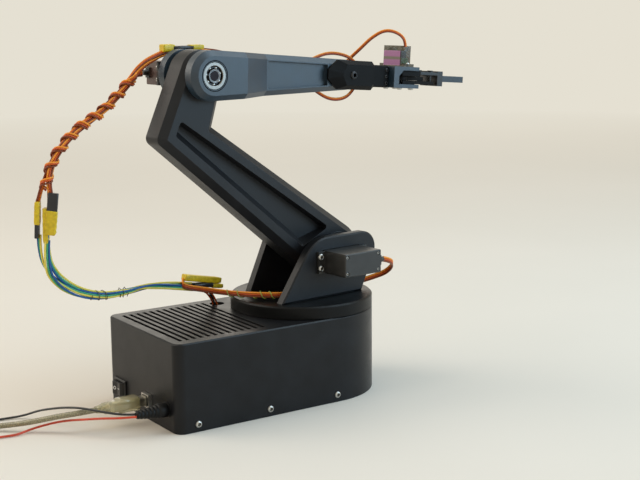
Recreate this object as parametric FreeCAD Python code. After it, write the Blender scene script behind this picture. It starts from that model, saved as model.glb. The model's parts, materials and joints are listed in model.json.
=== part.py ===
import FreeCAD, Part
import os
from math import asin, atan2, cos, degrees, hypot, pi, radians, sin, sqrt, tan

# Desktop five-axis robot arm with a parallel gripper, printed in black plastic and driven by hobby servos.
# Millimetres. The waist axis is the Z axis, the table is Z = 0, the round end of the base is +X,
# the rear connector face looks to -X, and the shoulder servo is on the -Y side.

# Pose of the joints at rest.
WAIST_YAW = 5.5
FOREARM_DROOP = 2.2
WRIST_DROOP = 2.0

# Base housing.
BASE_WIDTH = 124.0
BASE_REAR = 157.0
BASE_HEIGHT = 73.0
BASE_CORNER = 8.0
BASE_WALL = 3.0
BASE_TOP = 4.0
BASE_BEVEL = 1.0
PLATE_T = 3.0
PLATE_GAP = 0.25
VENT_COUNT = 13
VENT_PITCH = 6.35
VENT_WIDTH = 3.2
VENT_REAR = 10.0
VENT_SIDE = 10.0
CABLE_HOLE_X = -60.0
CABLE_HOLE_Y = 44.0
CABLE_HOLE_D = 13.0
SIDE_SCREW_COUNT = 3
SIDE_SCREW_REAR = 18.3
SIDE_SCREW_PITCH = 66.9
SIDE_SCREW_Z = 6.2
LUG = 9.0

# Turntable and shoulder cheeks.
DISC_GAP = 0.3
DISC_T = 10.7
DISC_BEVEL = 1.2
CHEEK_T = 8.0
CHEEK_INNER = 23.0
CHEEK_R = 22.0
CHEEK_TOP = 21.0
CHEEK_CORNER = 30.0
CHEEK_BEVEL = 1.2
TENON_DEPTH = 5.0
SHOULDER_X = 30.0
SHOULDER_RISE = 31.0

# Upper arm.
UPPER_X = -136.0
UPPER_Z = 162.0
UPPER_T = 28.0
UPPER_BEVEL = 5.6
SHOULDER_R = 28.0
ELBOW_R = 20.0
BEND_R = 6.2
BEND_OUT_X = -172.6
BEND_OUT_Z = 113.5
BEND_IN_X = -127.7
BEND_IN_Z = 120.0
POCKET_RIM = 12.0
POCKET_DEPTH = 9.0
POCKET_SLOPE = 7.0
POCKET_DRAFT = 1.0
POCKET_CORNER = 2.5
POCKET_FLOOR_CORNER = 1.0
HUB_T = 2.0

# Forearm.
FORK_GAP = 1.0
FORK_T = 12.5
FORK_FLAT = 32.0
FORK_NECK = 61.0
FORK_SLOT = 4.0
FORE_BEVEL = 4.4
BEAM_T = 29.0
WRIST_REACH = 150.0
WRIST_R = 13.0
BEAM_POCKET = 3.5
BEAM_RIM = 5.4
BEAM_EDGE = 1.5

# Wrist fork, roll housing and gripper bracket, along the wrist axis from the pivot.
FORK_SIDE_GAP = 0.3
FORK_SIDE_T = 2.0
FORK_CAP_T = 4.2
FORK_END_GAP = 1.0
WRIST_BACK = 25.0
WRIST_FRONT = 27.0
CAP_BEVEL = 3.6
CAP_CORNER = 3.0
WRIST_H = 25.0
HOUSING_LEN = 19.8
HOUSING_H = 19.4
HOUSING_NEAR = 14.0
HOUSING_WALL = 2.5
ROLL_GAP = 0.3
BRACKET_WALL = 6.2
BRACKET_W = 40.0
BRACKET_H = 19.0
BRACKET_PLATE = 3.4
BRACKET_LEN = 33.0
BRACKET_CORNER = 2.5
GUSSET = 5.0

# Gripper linkage.
GEAR_R = 9.0
GEAR_TEETH = 18
GEAR_BACKLASH = 0.5
GEAR_HUB = 6.5
GRIP_ARM = 27.0
GRIP_REST = -7.0
GEAR_S = 17.2
LINK_DS = 12.5
LINK_DY = 1.5
LINK_R = 4.0
PIN_R = 1.5
PIN_FIT = 0.1
LAYER_GAP = 0.3
TONGUE_LIFT = 1.7
FINGER_BLOCK = 6.7
FINGER_BLOCK_H = 13.6
FINGER_BAR = 30.7
FINGER_BAR_T = 6.0
FINGER_BAR_H = 5.6
FINGER_REST = 1.6

# Standard-size servo.
SERVO_L = 40.7
SERVO_W = 19.8
SERVO_BODY = 26.6
SERVO_FLANGE = 2.6
SERVO_FLANGE_L = 54.4
SERVO_TOP = 7.8
SERVO_END = 10.2
SERVO_BOSS_R = 6.5
SERVO_BOSS_H = 1.5
SERVO_SHAFT_R = 2.95
SERVO_HOLE_L = 49.5
SERVO_HOLE_W = 10.0
SERVO_FIT = 0.25
HORN_R = 12.0
HORN_GAP = 0.4

# Micro servo.
MICRO_L = 22.8
MICRO_W = 12.2
MICRO_BODY = 15.9
MICRO_FLANGE = 2.5
MICRO_FLANGE_L = 32.3
MICRO_TOP = 4.3
MICRO_END = 6.1
MICRO_BOSS_R = 5.8
MICRO_BOSS_H = 4.0
MICRO_SHAFT_R = 2.4
MICRO_HOLE_L = 27.8
MICRO_HORN_R = 7.0
MICRO_HORN_T = 2.4
MICRO_EXIT = 3.0
MICRO_EXIT_Y = 2.5

# Bearing 608, screws and running fits.
BEARING_OD = 22.0
BEARING_BORE = 8.0
BEARING_W = 7.0
SHAFT_FIT = 0.05
SCREW_R = 1.5
SCREW_HEAD_R = 2.85
SCREW_HEAD_H = 1.65

# Controller, connectors and switch.
BOARD_L = 68.6
BOARD_W = 53.3
BOARD_T = 1.6
BOARD_Z = 10.0
BOARD_GAP = 0.3
PLUG_FRONT = 17.5
PLUG_REAR = 15.5
PLUG_TAPER = 9.0
USB_W = 12.0
USB_H = 10.9
USB_L = 16.3
USB_OUT = 3.5
JACK_EDGE = 18.2
JACK_PITCH = 31.8
JACK_W = 9.0
JACK_H = 11.0
JACK_L = 14.0
WINDOW_GAP = 0.4
SWITCH_EDGE = 23.0
SWITCH_Z = 15.0
SWITCH_W = 21.0
SWITCH_H = 15.0
SWITCH_BEZEL = 2.0
SWITCH_DEPTH = 13.0
ROCKER_TILT = 10.0

# Cable diameters.
USB_CABLE_D = 4.5
LEAD_D = 1.8
HARNESS_D = 7.0
RIBBON_D = 7.6
TAIL_D = 4.5
SERVO_CABLE_D = 3.6
MICRO_CABLE_D = 2.4
CABLE_BORE_GAP = 0.25

V = FreeCAD.Vector
os.makedirs("parts", exist_ok=True)

# Derived places.
BASE_R = BASE_WIDTH / 2
DISC_Z = BASE_HEIGHT + DISC_GAP
DISC_TOP = DISC_Z + DISC_T
SHOULDER = V(SHOULDER_X, 0, DISC_TOP + SHOULDER_RISE)
ELBOW = SHOULDER + V(UPPER_X, 0, UPPER_Z)
UPPER_Y = UPPER_T / 2
CHEEK_OUTER = CHEEK_INNER + CHEEK_T
FORK_INNER = UPPER_Y + FORK_GAP
FORK_OUTER = FORK_INNER + FORK_T
BEAM_Y = BEAM_T / 2
FORK_CHEEK_Y = BEAM_Y + FORK_SIDE_GAP
FORK_PLATE_Y = FORK_CHEEK_Y + FORK_SIDE_T
FORK_CAP_Y = FORK_PLATE_Y + FORK_CAP_T


def box(x0, x1, y0, y1, z0, z1):
    return Part.makeBox(x1 - x0, y1 - y0, z1 - z0, V(x0, y0, z0))


def rod(r, start, end):
    """Round bar from one point to another."""
    return Part.makeCylinder(r, (end - start).Length, start, end - start)


def cone(r0, r1, start, end):
    return Part.makeCone(r0, r1, (end - start).Length, start, end - start)


def joined(shapes):
    """One solid from shapes that touch or overlap."""
    solid = shapes[0].fuse(list(shapes[1:])) if len(shapes) > 1 else shapes[0]
    return solid.removeSplitter()


def xz_wire(points, y):
    loop = [V(x, y, z) for x, z in points]
    return Part.makePolygon(loop + loop[:1])


def xz_prism(points, y0, y1):
    return Part.Face(xz_wire(points, y0)).extrude(V(0, y1 - y0, 0))


def xy_prism(points, z0, z1):
    loop = [V(x, y, z0) for x, y in points]
    return Part.Face(Part.makePolygon(loop + loop[:1])).extrude(V(0, 0, z1 - z0))


def edges_of(nodes):
    """Tangent lines round a loop of (x, z, radius) discs, taken anticlockwise, as (point, direction)."""
    lines = []
    for (ax, az, ar), (bx, bz, br) in zip(nodes, nodes[1:] + nodes[:1]):
        span = hypot(bx - ax, bz - az)
        angle = atan2(bz - az, bx - ax) + asin((ar - br) / span)
        n = (sin(angle), -cos(angle))
        lines.append(((ax + ar * n[0], az + ar * n[1]), (cos(angle), sin(angle)), n))
    return lines


def outline(nodes, inset, y):
    """Wire at depth y round a loop of discs joined by tangents, moved inwards by inset."""
    lines = edges_of(nodes)
    ends = []
    for i, (x, z, r) in enumerate(nodes):
        before, after = lines[i - 1], lines[i]
        if r > inset + 1e-6:
            a = (x + (r - inset) * before[2][0], z + (r - inset) * before[2][1])
            b = (x + (r - inset) * after[2][0], z + (r - inset) * after[2][1])
            ends.append((a, b, (x, z), r - inset))
            continue
        (px, pz), (dx, dz), n0 = before
        (qx, qz), (ex, ez), n1 = after
        px, pz = px - inset * n0[0], pz - inset * n0[1]
        qx, qz = qx - inset * n1[0], qz - inset * n1[1]
        t = ((qx - px) * ez - (qz - pz) * ex) / (dx * ez - dz * ex)
        corner = (px + t * dx, pz + t * dz)
        ends.append((corner, corner, None, 0))
    parts = []
    for i, (a, b, middle, r) in enumerate(ends):
        if middle:
            first = atan2(a[1] - middle[1], a[0] - middle[0])
            turn = (atan2(b[1] - middle[1], b[0] - middle[0]) - first) % (2 * pi)
            half = first + turn / 2
            via = V(middle[0] + r * cos(half), y, middle[1] + r * sin(half))
            parts.append(Part.Arc(V(a[0], y, a[1]), via, V(b[0], y, b[1])).toShape())
        c = ends[(i + 1) % len(ends)][0]
        parts.append(Part.LineSegment(V(b[0], y, b[1]), V(c[0], y, c[1])).toShape())
    return Part.Wire(parts)


def bevelled(nodes, y0, y1, low, high):
    """Plate between two depths with its edges bevelled by low at y0 and high at y1."""
    pieces = [Part.Face(outline(nodes, 0, y0 + low)).extrude(V(0, y1 - high - y0 - low, 0))]
    if low:
        pieces.append(Part.makeLoft([outline(nodes, low, y0), outline(nodes, 0, y0 + low)], True, True))
    if high:
        pieces.append(Part.makeLoft([outline(nodes, 0, y1 - high), outline(nodes, high, y1)], True, True))
    return joined(pieces)


def moved(shape, turns, to):
    """Copy turned about the axes through the origin in order, then moved."""
    copy = shape.copy()
    for axis, angle in turns:
        copy.rotate(V(0, 0, 0), axis, angle)
    copy.translate(to)
    return copy


AX, AY, AZ = V(1, 0, 0), V(0, 1, 0), V(0, 0, 1)


def in_arm(shape):
    return moved(shape, [(AZ, WAIST_YAW)], V(0, 0, 0))


def in_forearm(shape):
    return in_arm(moved(shape, [(AY, FOREARM_DROOP)], ELBOW))


def in_wrist(shape):
    return in_forearm(moved(shape, [(AY, WRIST_DROOP)], V(WRIST_REACH, 0, 0)))


def arm_points(route):
    """Route given in the arm's frame as plain points of the part's frame."""
    found = [in_arm(Part.Vertex(V(*p))).Point for p in route]
    return [(p.x, p.y, p.z) for p in found]


def wrist_points(route):
    found = [in_wrist(Part.Vertex(V(*p))).Point for p in route]
    return [(p.x, p.y, p.z) for p in found]


def save(name, shape):
    shape.exportStep("parts/" + name + ".step")
    print(name, len(shape.Solids), round(shape.Volume, 1), shape.isValid())


def group(shapes):
    return Part.makeCompound(shapes)


def button_screw(length, r=SCREW_R, head_r=SCREW_HEAD_R, head_h=SCREW_HEAD_H):
    """Button-head screw pointing down, underside of its head at the origin, with a hexagon socket."""
    dome_r = (head_r ** 2 + head_h ** 2) / (2 * head_h)
    ball = Part.makeSphere(dome_r, V(0, 0, head_h - dome_r))
    head = ball.common(Part.makeCylinder(head_r, head_h))
    hexagon = [(0.42 * head_r * cos(i * pi / 3), 0.42 * head_r * sin(i * pi / 3)) for i in range(6)]
    head = head.cut(xy_prism(hexagon, head_h * 0.35, head_h + 1))
    return joined([head, rod(r, V(0, 0, 0.1), V(0, 0, -length))])


def standard_servo():
    """Shaft up the Z axis, mounting face of the flange at Z = 0, cable end to +X."""
    x0 = SERVO_END - SERVO_L
    low = -SERVO_FLANGE - SERVO_BODY
    case = box(x0, SERVO_END, -SERVO_W / 2, SERVO_W / 2, low, SERVO_TOP)
    case = case.makeFillet(1.2, [e for e in case.Edges if abs(e.tangentAt(e.FirstParameter).z) > 0.9])
    case = case.makeChamfer(0.7, [e for e in case.Edges if e.BoundBox.ZMax < low + 0.01])
    mid = (x0 + SERVO_END) / 2
    flange = box(mid - SERVO_FLANGE_L / 2, mid + SERVO_FLANGE_L / 2, -SERVO_W / 2 + 0.4,
                 SERVO_W / 2 - 0.4,
                 -SERVO_FLANGE, 0)
    boot_z = low + 4.8
    boot = box(SERVO_END - 1, SERVO_END + 2, -4.2, 4.2, boot_z - 2.8, boot_z + 2.8)
    relief = cone(2.9, 2.1, V(SERVO_END + 1.5, 0, boot_z), V(SERVO_END + 6.0, 0, boot_z))
    boss = rod(SERVO_BOSS_R, V(0, 0, SERVO_TOP - 1), V(0, 0, SERVO_TOP + SERVO_BOSS_H))
    solid = joined([case, flange, boss, boot, relief])
    holes = [rod(2.2, V(x, y, -4), V(x, y, 1)) for x, y in servo_holes()]
    holes.append(rod(SERVO_SHAFT_R + SHAFT_FIT, V(0, 0, 3), V(0, 0, SERVO_TOP + 5)))
    holes += [rod(1.6, V(x, y, low - 1), V(x, y, low + 1.4)) for x, y in case_screws()]
    return solid.cut(holes)


def servo_holes():
    mid = SERVO_END - SERVO_L / 2
    return [(mid + i * SERVO_HOLE_L / 2, j * SERVO_HOLE_W / 2) for i in (-1, 1) for j in (-1, 1)]


def case_screws():
    mid = SERVO_END - SERVO_L / 2
    return [(mid + i * (SERVO_L / 2 - 2.9), j * (SERVO_W / 2 - 2.9)) for i in (-1, 1) for j in (-1, 1)]


def servo_screws(grip):
    """Four flange screws that reach grip into the bracket, and four case screws, at the servo."""
    low = -SERVO_FLANGE - SERVO_BODY
    found = []
    for x, y in servo_holes():
        found.append(moved(button_screw(SERVO_FLANGE + grip), [(AX, 180)], V(x, y, -SERVO_FLANGE)))
    for x, y in case_screws():
        head = rod(1.5, V(x, y, low + 0.3), V(x, y, low + 1.4))
        found.append(head.cut(box(x - 0.25, x + 0.25, y - 2, y + 2, low, low + 0.8)))
    return group(found)


def servo_window(depth):
    """Room for the top of a servo and its flange screws in the bracket it sits on."""
    g = SERVO_FIT
    cut = [box(SERVO_END - SERVO_L - g, SERVO_END + g, -SERVO_W / 2 - g, SERVO_W / 2 + g, -0.5, depth)]
    return cut + [rod(SCREW_R, V(x, y, -0.5), V(x, y, 9)) for x, y in servo_holes()]


def servo_shaft(start, end, disc_start, disc_end, r, disc_r):
    """Output shaft and round horn of a servo, along Z."""
    return joined([rod(r, V(0, 0, start), V(0, 0, end)),
                   rod(disc_r, V(0, 0, disc_start), V(0, 0, disc_end))])


def micro_servo():
    """Shaft up the Z axis, upper face of the flange at Z = 0, cable end to +X."""
    x0 = MICRO_END - MICRO_L
    low = -MICRO_FLANGE - MICRO_BODY
    case = box(x0, MICRO_END, -MICRO_W / 2, MICRO_W / 2, low, MICRO_TOP)
    case = case.makeFillet(0.6, [e for e in case.Edges if abs(e.tangentAt(e.FirstParameter).z) > 0.9])
    mid = (x0 + MICRO_END) / 2
    flange = box(mid - MICRO_FLANGE_L / 2, mid + MICRO_FLANGE_L / 2, -MICRO_W / 2 + 0.2,
                 MICRO_W / 2 - 0.2,
                 -MICRO_FLANGE, 0)
    top = MICRO_TOP + MICRO_BOSS_H
    boss = rod(MICRO_BOSS_R, V(0, 0, MICRO_TOP - 1), V(0, 0, top))
    idler = rod(2.7, V(-MICRO_BOSS_R - 0.6, 0, MICRO_TOP - 1), V(-MICRO_BOSS_R - 0.6, 0, top))
    exit_block = box(MICRO_END - 0.5, MICRO_END + MICRO_EXIT, MICRO_EXIT_Y - 2, MICRO_EXIT_Y + 2,
                     low + 1.2, low + 4.2)
    solid = joined([case, flange, boss, idler, exit_block])
    holes = [rod(1.0, V(x, 0, -4), V(x, 0, 1)) for x in micro_holes()]
    holes.append(rod(MICRO_SHAFT_R + SHAFT_FIT, V(0, 0, 1), V(0, 0, top + 3)))
    return solid.cut(holes)


def micro_holes():
    mid = MICRO_END - MICRO_L / 2
    return [mid - MICRO_HOLE_L / 2, mid + MICRO_HOLE_L / 2]


def cable_path(points):
    """Straight runs joined by tangent arcs through a route, and the radius of the tightest arc."""
    points = [V(*p) for p in points]
    pieces = []
    here = points[0]
    tightest = 1e9
    for before, at, after in zip(points, points[1:], points[2:]):
        a = (at - before).normalize()
        b = (after - at).normalize()
        turn = a.getAngle(b)
        cut = 0.45 * min((at - before).Length, (after - at).Length)
        r = cut / tan(turn / 2)
        tightest = min(tightest, r)
        start, end = at - a * cut, at + b * cut
        via = at + (b - a).normalize() * (r / cos(turn / 2) - r)
        pieces.append(Part.LineSegment(here, start).toShape())
        pieces.append(Part.Arc(start, via, end).toShape())
        here = end
    pieces.append(Part.LineSegment(here, points[-1]).toShape())
    return Part.Wire(pieces), tightest


def tube(points, diameter):
    path, tightest = cable_path(points)
    ring = Part.Wire(Part.makeCircle(diameter / 2, V(*points[0]), V(*points[1]) - V(*points[0])))
    return path.makePipeShell([ring], True, False)


def bore(points, diameter):
    """Room for a cable where it goes into a printed piece."""
    return tube(points, diameter + 2 * CABLE_BORE_GAP)


def cable(name, points, diameter):
    """Round cable along a route; prints its length and its tightest bend."""
    path, tightest = cable_path(points)
    shape = tube(points, diameter)
    print(name, "length", round(path.Length, 1), "tightest", round(tightest, 1),
          "in diameters", round(tightest / diameter, 1),
          "volume ratio", round(shape.Volume / (path.Length * pi * diameter ** 2 / 4), 3))
    save(name, shape)


def base_wire(inset, z):
    """D-shaped plan of the base, drawn in by inset."""
    r, rear, c = BASE_R - inset, BASE_REAR - inset, max(BASE_CORNER - inset, 1.0)
    k = c * (1 - sqrt(0.5))
    return Part.Wire([
        Part.LineSegment(V(0, -r, z), V(c - rear, -r, z)).toShape(),
        Part.Arc(V(c - rear, -r, z), V(k - rear, k - r, z), V(-rear, c - r, z)).toShape(),
        Part.LineSegment(V(-rear, c - r, z), V(-rear, r - c, z)).toShape(),
        Part.Arc(V(-rear, r - c, z), V(k - rear, r - k, z), V(c - rear, r, z)).toShape(),
        Part.LineSegment(V(c - rear, r, z), V(0, r, z)).toShape(),
        Part.Arc(V(0, r, z), V(r, 0, z), V(0, -r, z)).toShape(),
    ])


# Base housing: one hollow print, open below, with slotted vents, connector windows and servo pillars.
base_body = Part.Face(base_wire(0, 0)).extrude(V(0, 0, BASE_HEIGHT - BASE_BEVEL))
base_rim = Part.makeLoft([base_wire(0, BASE_HEIGHT - BASE_BEVEL), base_wire(BASE_BEVEL, BASE_HEIGHT)],
                         True, True)
base_room = Part.Face(base_wire(BASE_WALL, -1)).extrude(V(0, 0, BASE_HEIGHT - BASE_TOP + 1))
base_shell = joined([base_body, base_rim]).cut(base_room)
top_under = BASE_HEIGHT - BASE_TOP
waist_mount_z = top_under - 0.5 - SERVO_TOP
pillars = [rod(4.0, V(x, y, waist_mount_z), V(x, y, top_under + 1)) for x, y in servo_holes()]
base_shell = joined([base_shell] + pillars)
cuts = [rod(1.0 + HORN_R, V(0, 0, top_under - 2), V(0, 0, BASE_HEIGHT + 1))]
cuts += [rod(SCREW_R, V(x, y, waist_mount_z - 1), V(x, y, waist_mount_z + 6)) for x, y in servo_holes()]
for i in range(VENT_COUNT):
    x = -BASE_REAR + VENT_REAR + i * VENT_PITCH
    y = BASE_R - VENT_SIDE
    cuts.append(box(x - VENT_WIDTH / 2, x + VENT_WIDTH / 2, -y, y, top_under - 1, BASE_HEIGHT + 1))
hole = V(CABLE_HOLE_X, CABLE_HOLE_Y, BASE_HEIGHT)
cuts.append(rod(CABLE_HOLE_D / 2, hole - AZ * (BASE_TOP + 1), hole + AZ))
usb_z = BOARD_Z + BOARD_T + USB_H / 2
jack_y = JACK_EDGE - BASE_R
usb_y = jack_y + JACK_PITCH
switch_y = BASE_R - SWITCH_EDGE
jack_z = BOARD_Z + BOARD_T + JACK_H / 2
rear_in = -BASE_REAR + BASE_WALL
g = WINDOW_GAP
cuts.append(box(-BASE_REAR - 1, rear_in + 1, usb_y - USB_W / 2 - g, usb_y + USB_W / 2 + g,
                usb_z - USB_H / 2 - g, usb_z + USB_H / 2 + g))
cuts.append(box(-BASE_REAR - 1, rear_in + 1, jack_y - JACK_W / 2 - g, jack_y + JACK_W / 2 + g,
                jack_z - JACK_H / 2 - g, jack_z + JACK_H / 2 + g))
switch_w, switch_h = SWITCH_W - 2, SWITCH_H - 2
cuts.append(box(-BASE_REAR - 1, rear_in + 1, switch_y - switch_w / 2 - 0.1, switch_y + switch_w / 2 + 0.1,
                SWITCH_Z - switch_h / 2 - 0.1, SWITCH_Z + switch_h / 2 + 0.1))
side_xs = [-BASE_REAR + SIDE_SCREW_REAR + i * SIDE_SCREW_PITCH for i in range(SIDE_SCREW_COUNT)]
side_holes = [rod(SCREW_R, V(x, -BASE_R - 1, SIDE_SCREW_Z), V(x, BASE_R + 1, SIDE_SCREW_Z))
              for x in side_xs]
base_shell = base_shell.cut(cuts + side_holes)
save("base_shell", base_shell)

# Floor plate: let into the housing from below, with lugs for the side screws and posts for the board.
plate = Part.Face(base_wire(BASE_WALL + PLATE_GAP, 0)).extrude(V(0, 0, PLATE_T))
lug_y = BASE_R - BASE_WALL - PLATE_GAP
lugs = []
for x in side_xs:
    for side in (-1, 1):
        y0, y1 = sorted((side * lug_y, side * (lug_y - LUG)))
        lugs.append(box(x - LUG / 2, x + LUG / 2, y0, y1, PLATE_T - 1, BOARD_Z - BOARD_GAP))
board_x0 = rear_in + 0.5
board_y1 = usb_y + 14.0
board_y0 = board_y1 - BOARD_W
posts = []
for x in (board_x0 + 15.0, board_x0 + BOARD_L - 4.0):
    for y in (board_y0 + 4.0, board_y1 - 4.0):
        posts.append(rod(3.0, V(x, y, PLATE_T - 1), V(x, y, BOARD_Z)))
base_plate = joined([plate] + lugs + posts).cut(side_holes)
save("base_plate", base_plate)

# Six button-head screws through the housing's sides into the plate's lugs.
side_screws = []
for x in side_xs:
    for side in (-1, 1):
        one = button_screw(BASE_WALL + LUG - 2)
        side_screws.append(moved(one, [(AX, -90 * side)], V(x, side * BASE_R, SIDE_SCREW_Z)))
save("base_side_screws", group(side_screws))

# Waist servo hung under the housing's top, shaft up on the waist axis.
waist_at = V(0, 0, waist_mount_z)
save("waist_servo", moved(standard_servo(), [], waist_at))
save("waist_servo_screws", moved(servo_screws(5.5), [], waist_at))

# Controller board with its processor, header strips and voltage parts standing on it.
board = box(board_x0, board_x0 + BOARD_L, board_y0, board_y1, BOARD_Z, BOARD_Z + BOARD_T)
board_top = BOARD_Z + BOARD_T
headers = []
for y in (board_y0 + 2.6, board_y1 - 2.6):
    headers.append(box(board_x0 + 28, board_x0 + 65, y - 1.25, y + 1.25, board_top, board_top + 8.5))
chip = box(board_x0 + 34, board_x0 + 62, board_y0 + 14, board_y0 + 21, board_top, board_top + 3.6)
cans = [rod(3.2, V(board_x0 + 20, y, board_top), V(board_x0 + 20, y, board_top + 6)) for y in
        (board_y0 + 12, board_y0 + 20)]
save("controller_board", group([board] + headers + [chip] + cans))

# Square data socket and round power jack on the board, reaching through the rear windows.
usb_front = -BASE_REAR - USB_OUT
usb_shell = box(usb_front, usb_front + USB_L, usb_y - USB_W / 2, usb_y + USB_W / 2,
                usb_z - USB_H / 2, usb_z + USB_H / 2)
usb_mouth = box(usb_front - 1, usb_front + 10, usb_y - 4.3, usb_y + 4.3, usb_z - 4.0, usb_z + 4.0)
save("usb_socket", usb_shell.cut(usb_mouth))
jack_front = -BASE_REAR - 0.5
jack = box(jack_front, jack_front + JACK_L, jack_y - JACK_W / 2, jack_y + JACK_W / 2,
           jack_z - JACK_H / 2, jack_z + JACK_H / 2)
save("power_jack", jack.cut(rod(3.1, V(jack_front - 1, jack_y, jack_z),
                                V(jack_front + 10, jack_y, jack_z))))

# Rocker switch: framed body clipped into the rear wall, and the rocker that tips about an upright pin.
bezel = box(-BASE_REAR - SWITCH_BEZEL, -BASE_REAR, switch_y - SWITCH_W / 2, switch_y + SWITCH_W / 2,
            SWITCH_Z - SWITCH_H / 2, SWITCH_Z + SWITCH_H / 2)
bezel = bezel.makeChamfer(0.8,
                          [e for e in bezel.Edges if e.BoundBox.XMax < -BASE_REAR - SWITCH_BEZEL + 0.01])
switch_case = box(-BASE_REAR - 0.5, -BASE_REAR + SWITCH_DEPTH, switch_y - switch_w / 2,
                  switch_y + switch_w / 2,
                  SWITCH_Z - switch_h / 2, SWITCH_Z + switch_h / 2)
rocker_half = SWITCH_W / 2 - 2.2
rocker_h = SWITCH_H / 2 - 2.2
rocker_at = V(-BASE_REAR + 1.0, switch_y, SWITCH_Z)
rocker_room = box(-BASE_REAR - 5, rocker_at.x + 6.5, switch_y - rocker_half - 0.35,
                  switch_y + rocker_half + 0.35,
                  SWITCH_Z - rocker_h - 0.3, SWITCH_Z + rocker_h + 0.3)
save("switch_body", joined([bezel, switch_case]).cut(rocker_room))
w = rocker_half
rocker = xy_prism([(3.0, -w), (-7.2, -w), (-5.4, 0), (-7.2, w), (3.0, w)], -rocker_h, rocker_h)
rocker = rocker.common(Part.makeCylinder(w, 4 * rocker_h, V(0, 0, -2 * rocker_h)))
save("switch_rocker", moved(rocker, [(AZ, ROCKER_TILT)], rocker_at))

# Data plug with its moulded body, and the power plug with its ribbed grip.
plug_face = usb_front - 1.5
plug_step = plug_face - PLUG_FRONT
plug_end = plug_step - PLUG_REAR
plug_tail = plug_end - PLUG_TAPER
shroud = box(plug_face - 2, usb_front + 9, usb_y - 4.1, usb_y + 4.1, usb_z - 3.8, usb_z + 3.8)
grip = box(plug_step, plug_face, usb_y - 6.2, usb_y + 6.2, usb_z - 5.6, usb_z + 5.6)
grip = grip.makeFillet(1.6, [e for e in grip.Edges if e.CenterOfMass.x < plug_face - 1])
waist = box(plug_end, plug_step + 2, usb_y - 5.2, usb_y + 5.2, usb_z - 4.7, usb_z + 4.7)
waist = waist.makeFillet(2.4, [e for e in waist.Edges if e.CenterOfMass.x < plug_step + 1.5])
taper = cone(4.0, USB_CABLE_D / 2 + 0.6, V(plug_end + 0.5, usb_y, usb_z), V(plug_tail, usb_y, usb_z))
save("usb_plug", joined([shroud, grip, waist, taper]))
dc_face = jack_front - 0.8
dc_end = dc_face - 26.0
barrel = rod(2.75, V(jack_front + 9.5, jack_y, jack_z), V(dc_face - 1, jack_y, jack_z))
collar = rod(5.2, V(dc_face, jack_y, jack_z), V(dc_face - 5, jack_y, jack_z))
sleeve = cone(4.8, 3.4, V(dc_face - 4.5, jack_y, jack_z), V(dc_end, jack_y, jack_z))
ribs = []
for i in range(6):
    x = dc_face - 8 - 2.8 * i
    ribs.append(rod(5.0 - 0.2 * i, V(x, jack_y, jack_z), V(x - 1.4, jack_y, jack_z)))
save("power_plug", joined([barrel, collar, sleeve] + ribs))

# Data cable from the moulded plug to the left, down to the table and round to its flat plug.
usb_r = USB_CABLE_D / 2
usb_route = [
    (plug_tail, usb_y, usb_z), (plug_tail - 12, usb_y + 1.5, usb_z - 0.6),
    (plug_tail - 27, usb_y + 11, usb_z - 3.0),
    (plug_tail - 45, usb_y + 27, usb_z - 9.0), (plug_tail - 61, usb_y + 43, usb_r + 2.0),
    (plug_tail - 80, usb_y + 55, usb_r + 0.1), (plug_tail - 103, usb_y + 52, usb_r + 0.2),
    (plug_tail - 118, usb_y + 35, usb_r + 0.3), (plug_tail - 123, usb_y + 13, usb_r + 1.0),
    (plug_tail - 124, usb_y - 6, 4.0)]
cable("usb_cable", usb_route, USB_CABLE_D)
tip = V(*usb_route[-1])
flat_body = box(-7.8, 7.8, -30.0, 0, -3.9, 3.9)
long_edges = [e for e in flat_body.Edges if abs(e.tangentAt(e.FirstParameter).y) > 0.9]
flat_body = flat_body.makeFillet(1.8, long_edges)
flat_metal = box(-6.0, 6.0, -48.8, -29.0, -2.25, 2.25).cut(box(-5.6, 5.6, -50, -40, -0.2, 1.9))
save("usb_far_plug", moved(joined([flat_body, flat_metal]), [], tip))

# Two thin supply wires from the power plug, black over the data cable and red under it.
lead_r = LEAD_D / 2
black_route = [
    (dc_end, jack_y + 1.4, jack_z + 0.6), (dc_end - 10, jack_y + 3.5, jack_z + 1.5),
    (dc_end - 21.7, jack_y + 16.8, jack_z + 2.9), (dc_end - 31.2, jack_y + 32.3, jack_z + 3.7),
    (dc_end - 38.2, jack_y + 49.8, jack_z + 0.9), (dc_end - 43.7, jack_y + 65.8, jack_z - 3.4),
    (dc_end - 48.2, jack_y + 80.8, jack_z - 8.2), (dc_end - 52.2, jack_y + 91.8, jack_z - 13.1),
    (dc_end - 59.2, jack_y + 98.3, lead_r + 0.4), (dc_end - 69.7, jack_y + 100.8, lead_r + 0.1),
    (dc_end - 82.7, jack_y + 101.5, lead_r + 0.2), (dc_end - 97.2, jack_y + 103.5, lead_r + 0.1),
    (dc_end - 112.2, jack_y + 107.5, lead_r + 0.2), (dc_end - 126.0, jack_y + 114.5, lead_r + 0.1)]
cable("power_lead_black", black_route, LEAD_D)
red_route = [
    (dc_end, jack_y - 1.4, jack_z - 0.6), (dc_end - 10.7, jack_y + 1.8, jack_z - 0.6),
    (dc_end - 22.7, jack_y + 13.8, jack_z - 1.6), (dc_end - 32.7, jack_y + 26.8, jack_z - 4.1),
    (dc_end - 40.2, jack_y + 39.5, jack_z - 6.8), (dc_end - 47.7, jack_y + 48.3, jack_z - 9.5),
    (dc_end - 57.7, jack_y + 56.3, jack_z - 13.1), (dc_end - 66.2, jack_y + 58.6, lead_r + 1.0),
    (dc_end - 75.2, jack_y + 56.2, lead_r + 0.1), (dc_end - 84.7, jack_y + 57.6, lead_r + 0.2),
    (dc_end - 95.7, jack_y + 59.5, lead_r + 0.1), (dc_end - 107.7, jack_y + 56.0, lead_r + 0.2),
    (dc_end - 118.7, jack_y + 48.0, lead_r + 0.1)]
cable("power_lead_red", red_route, LEAD_D)

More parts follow.
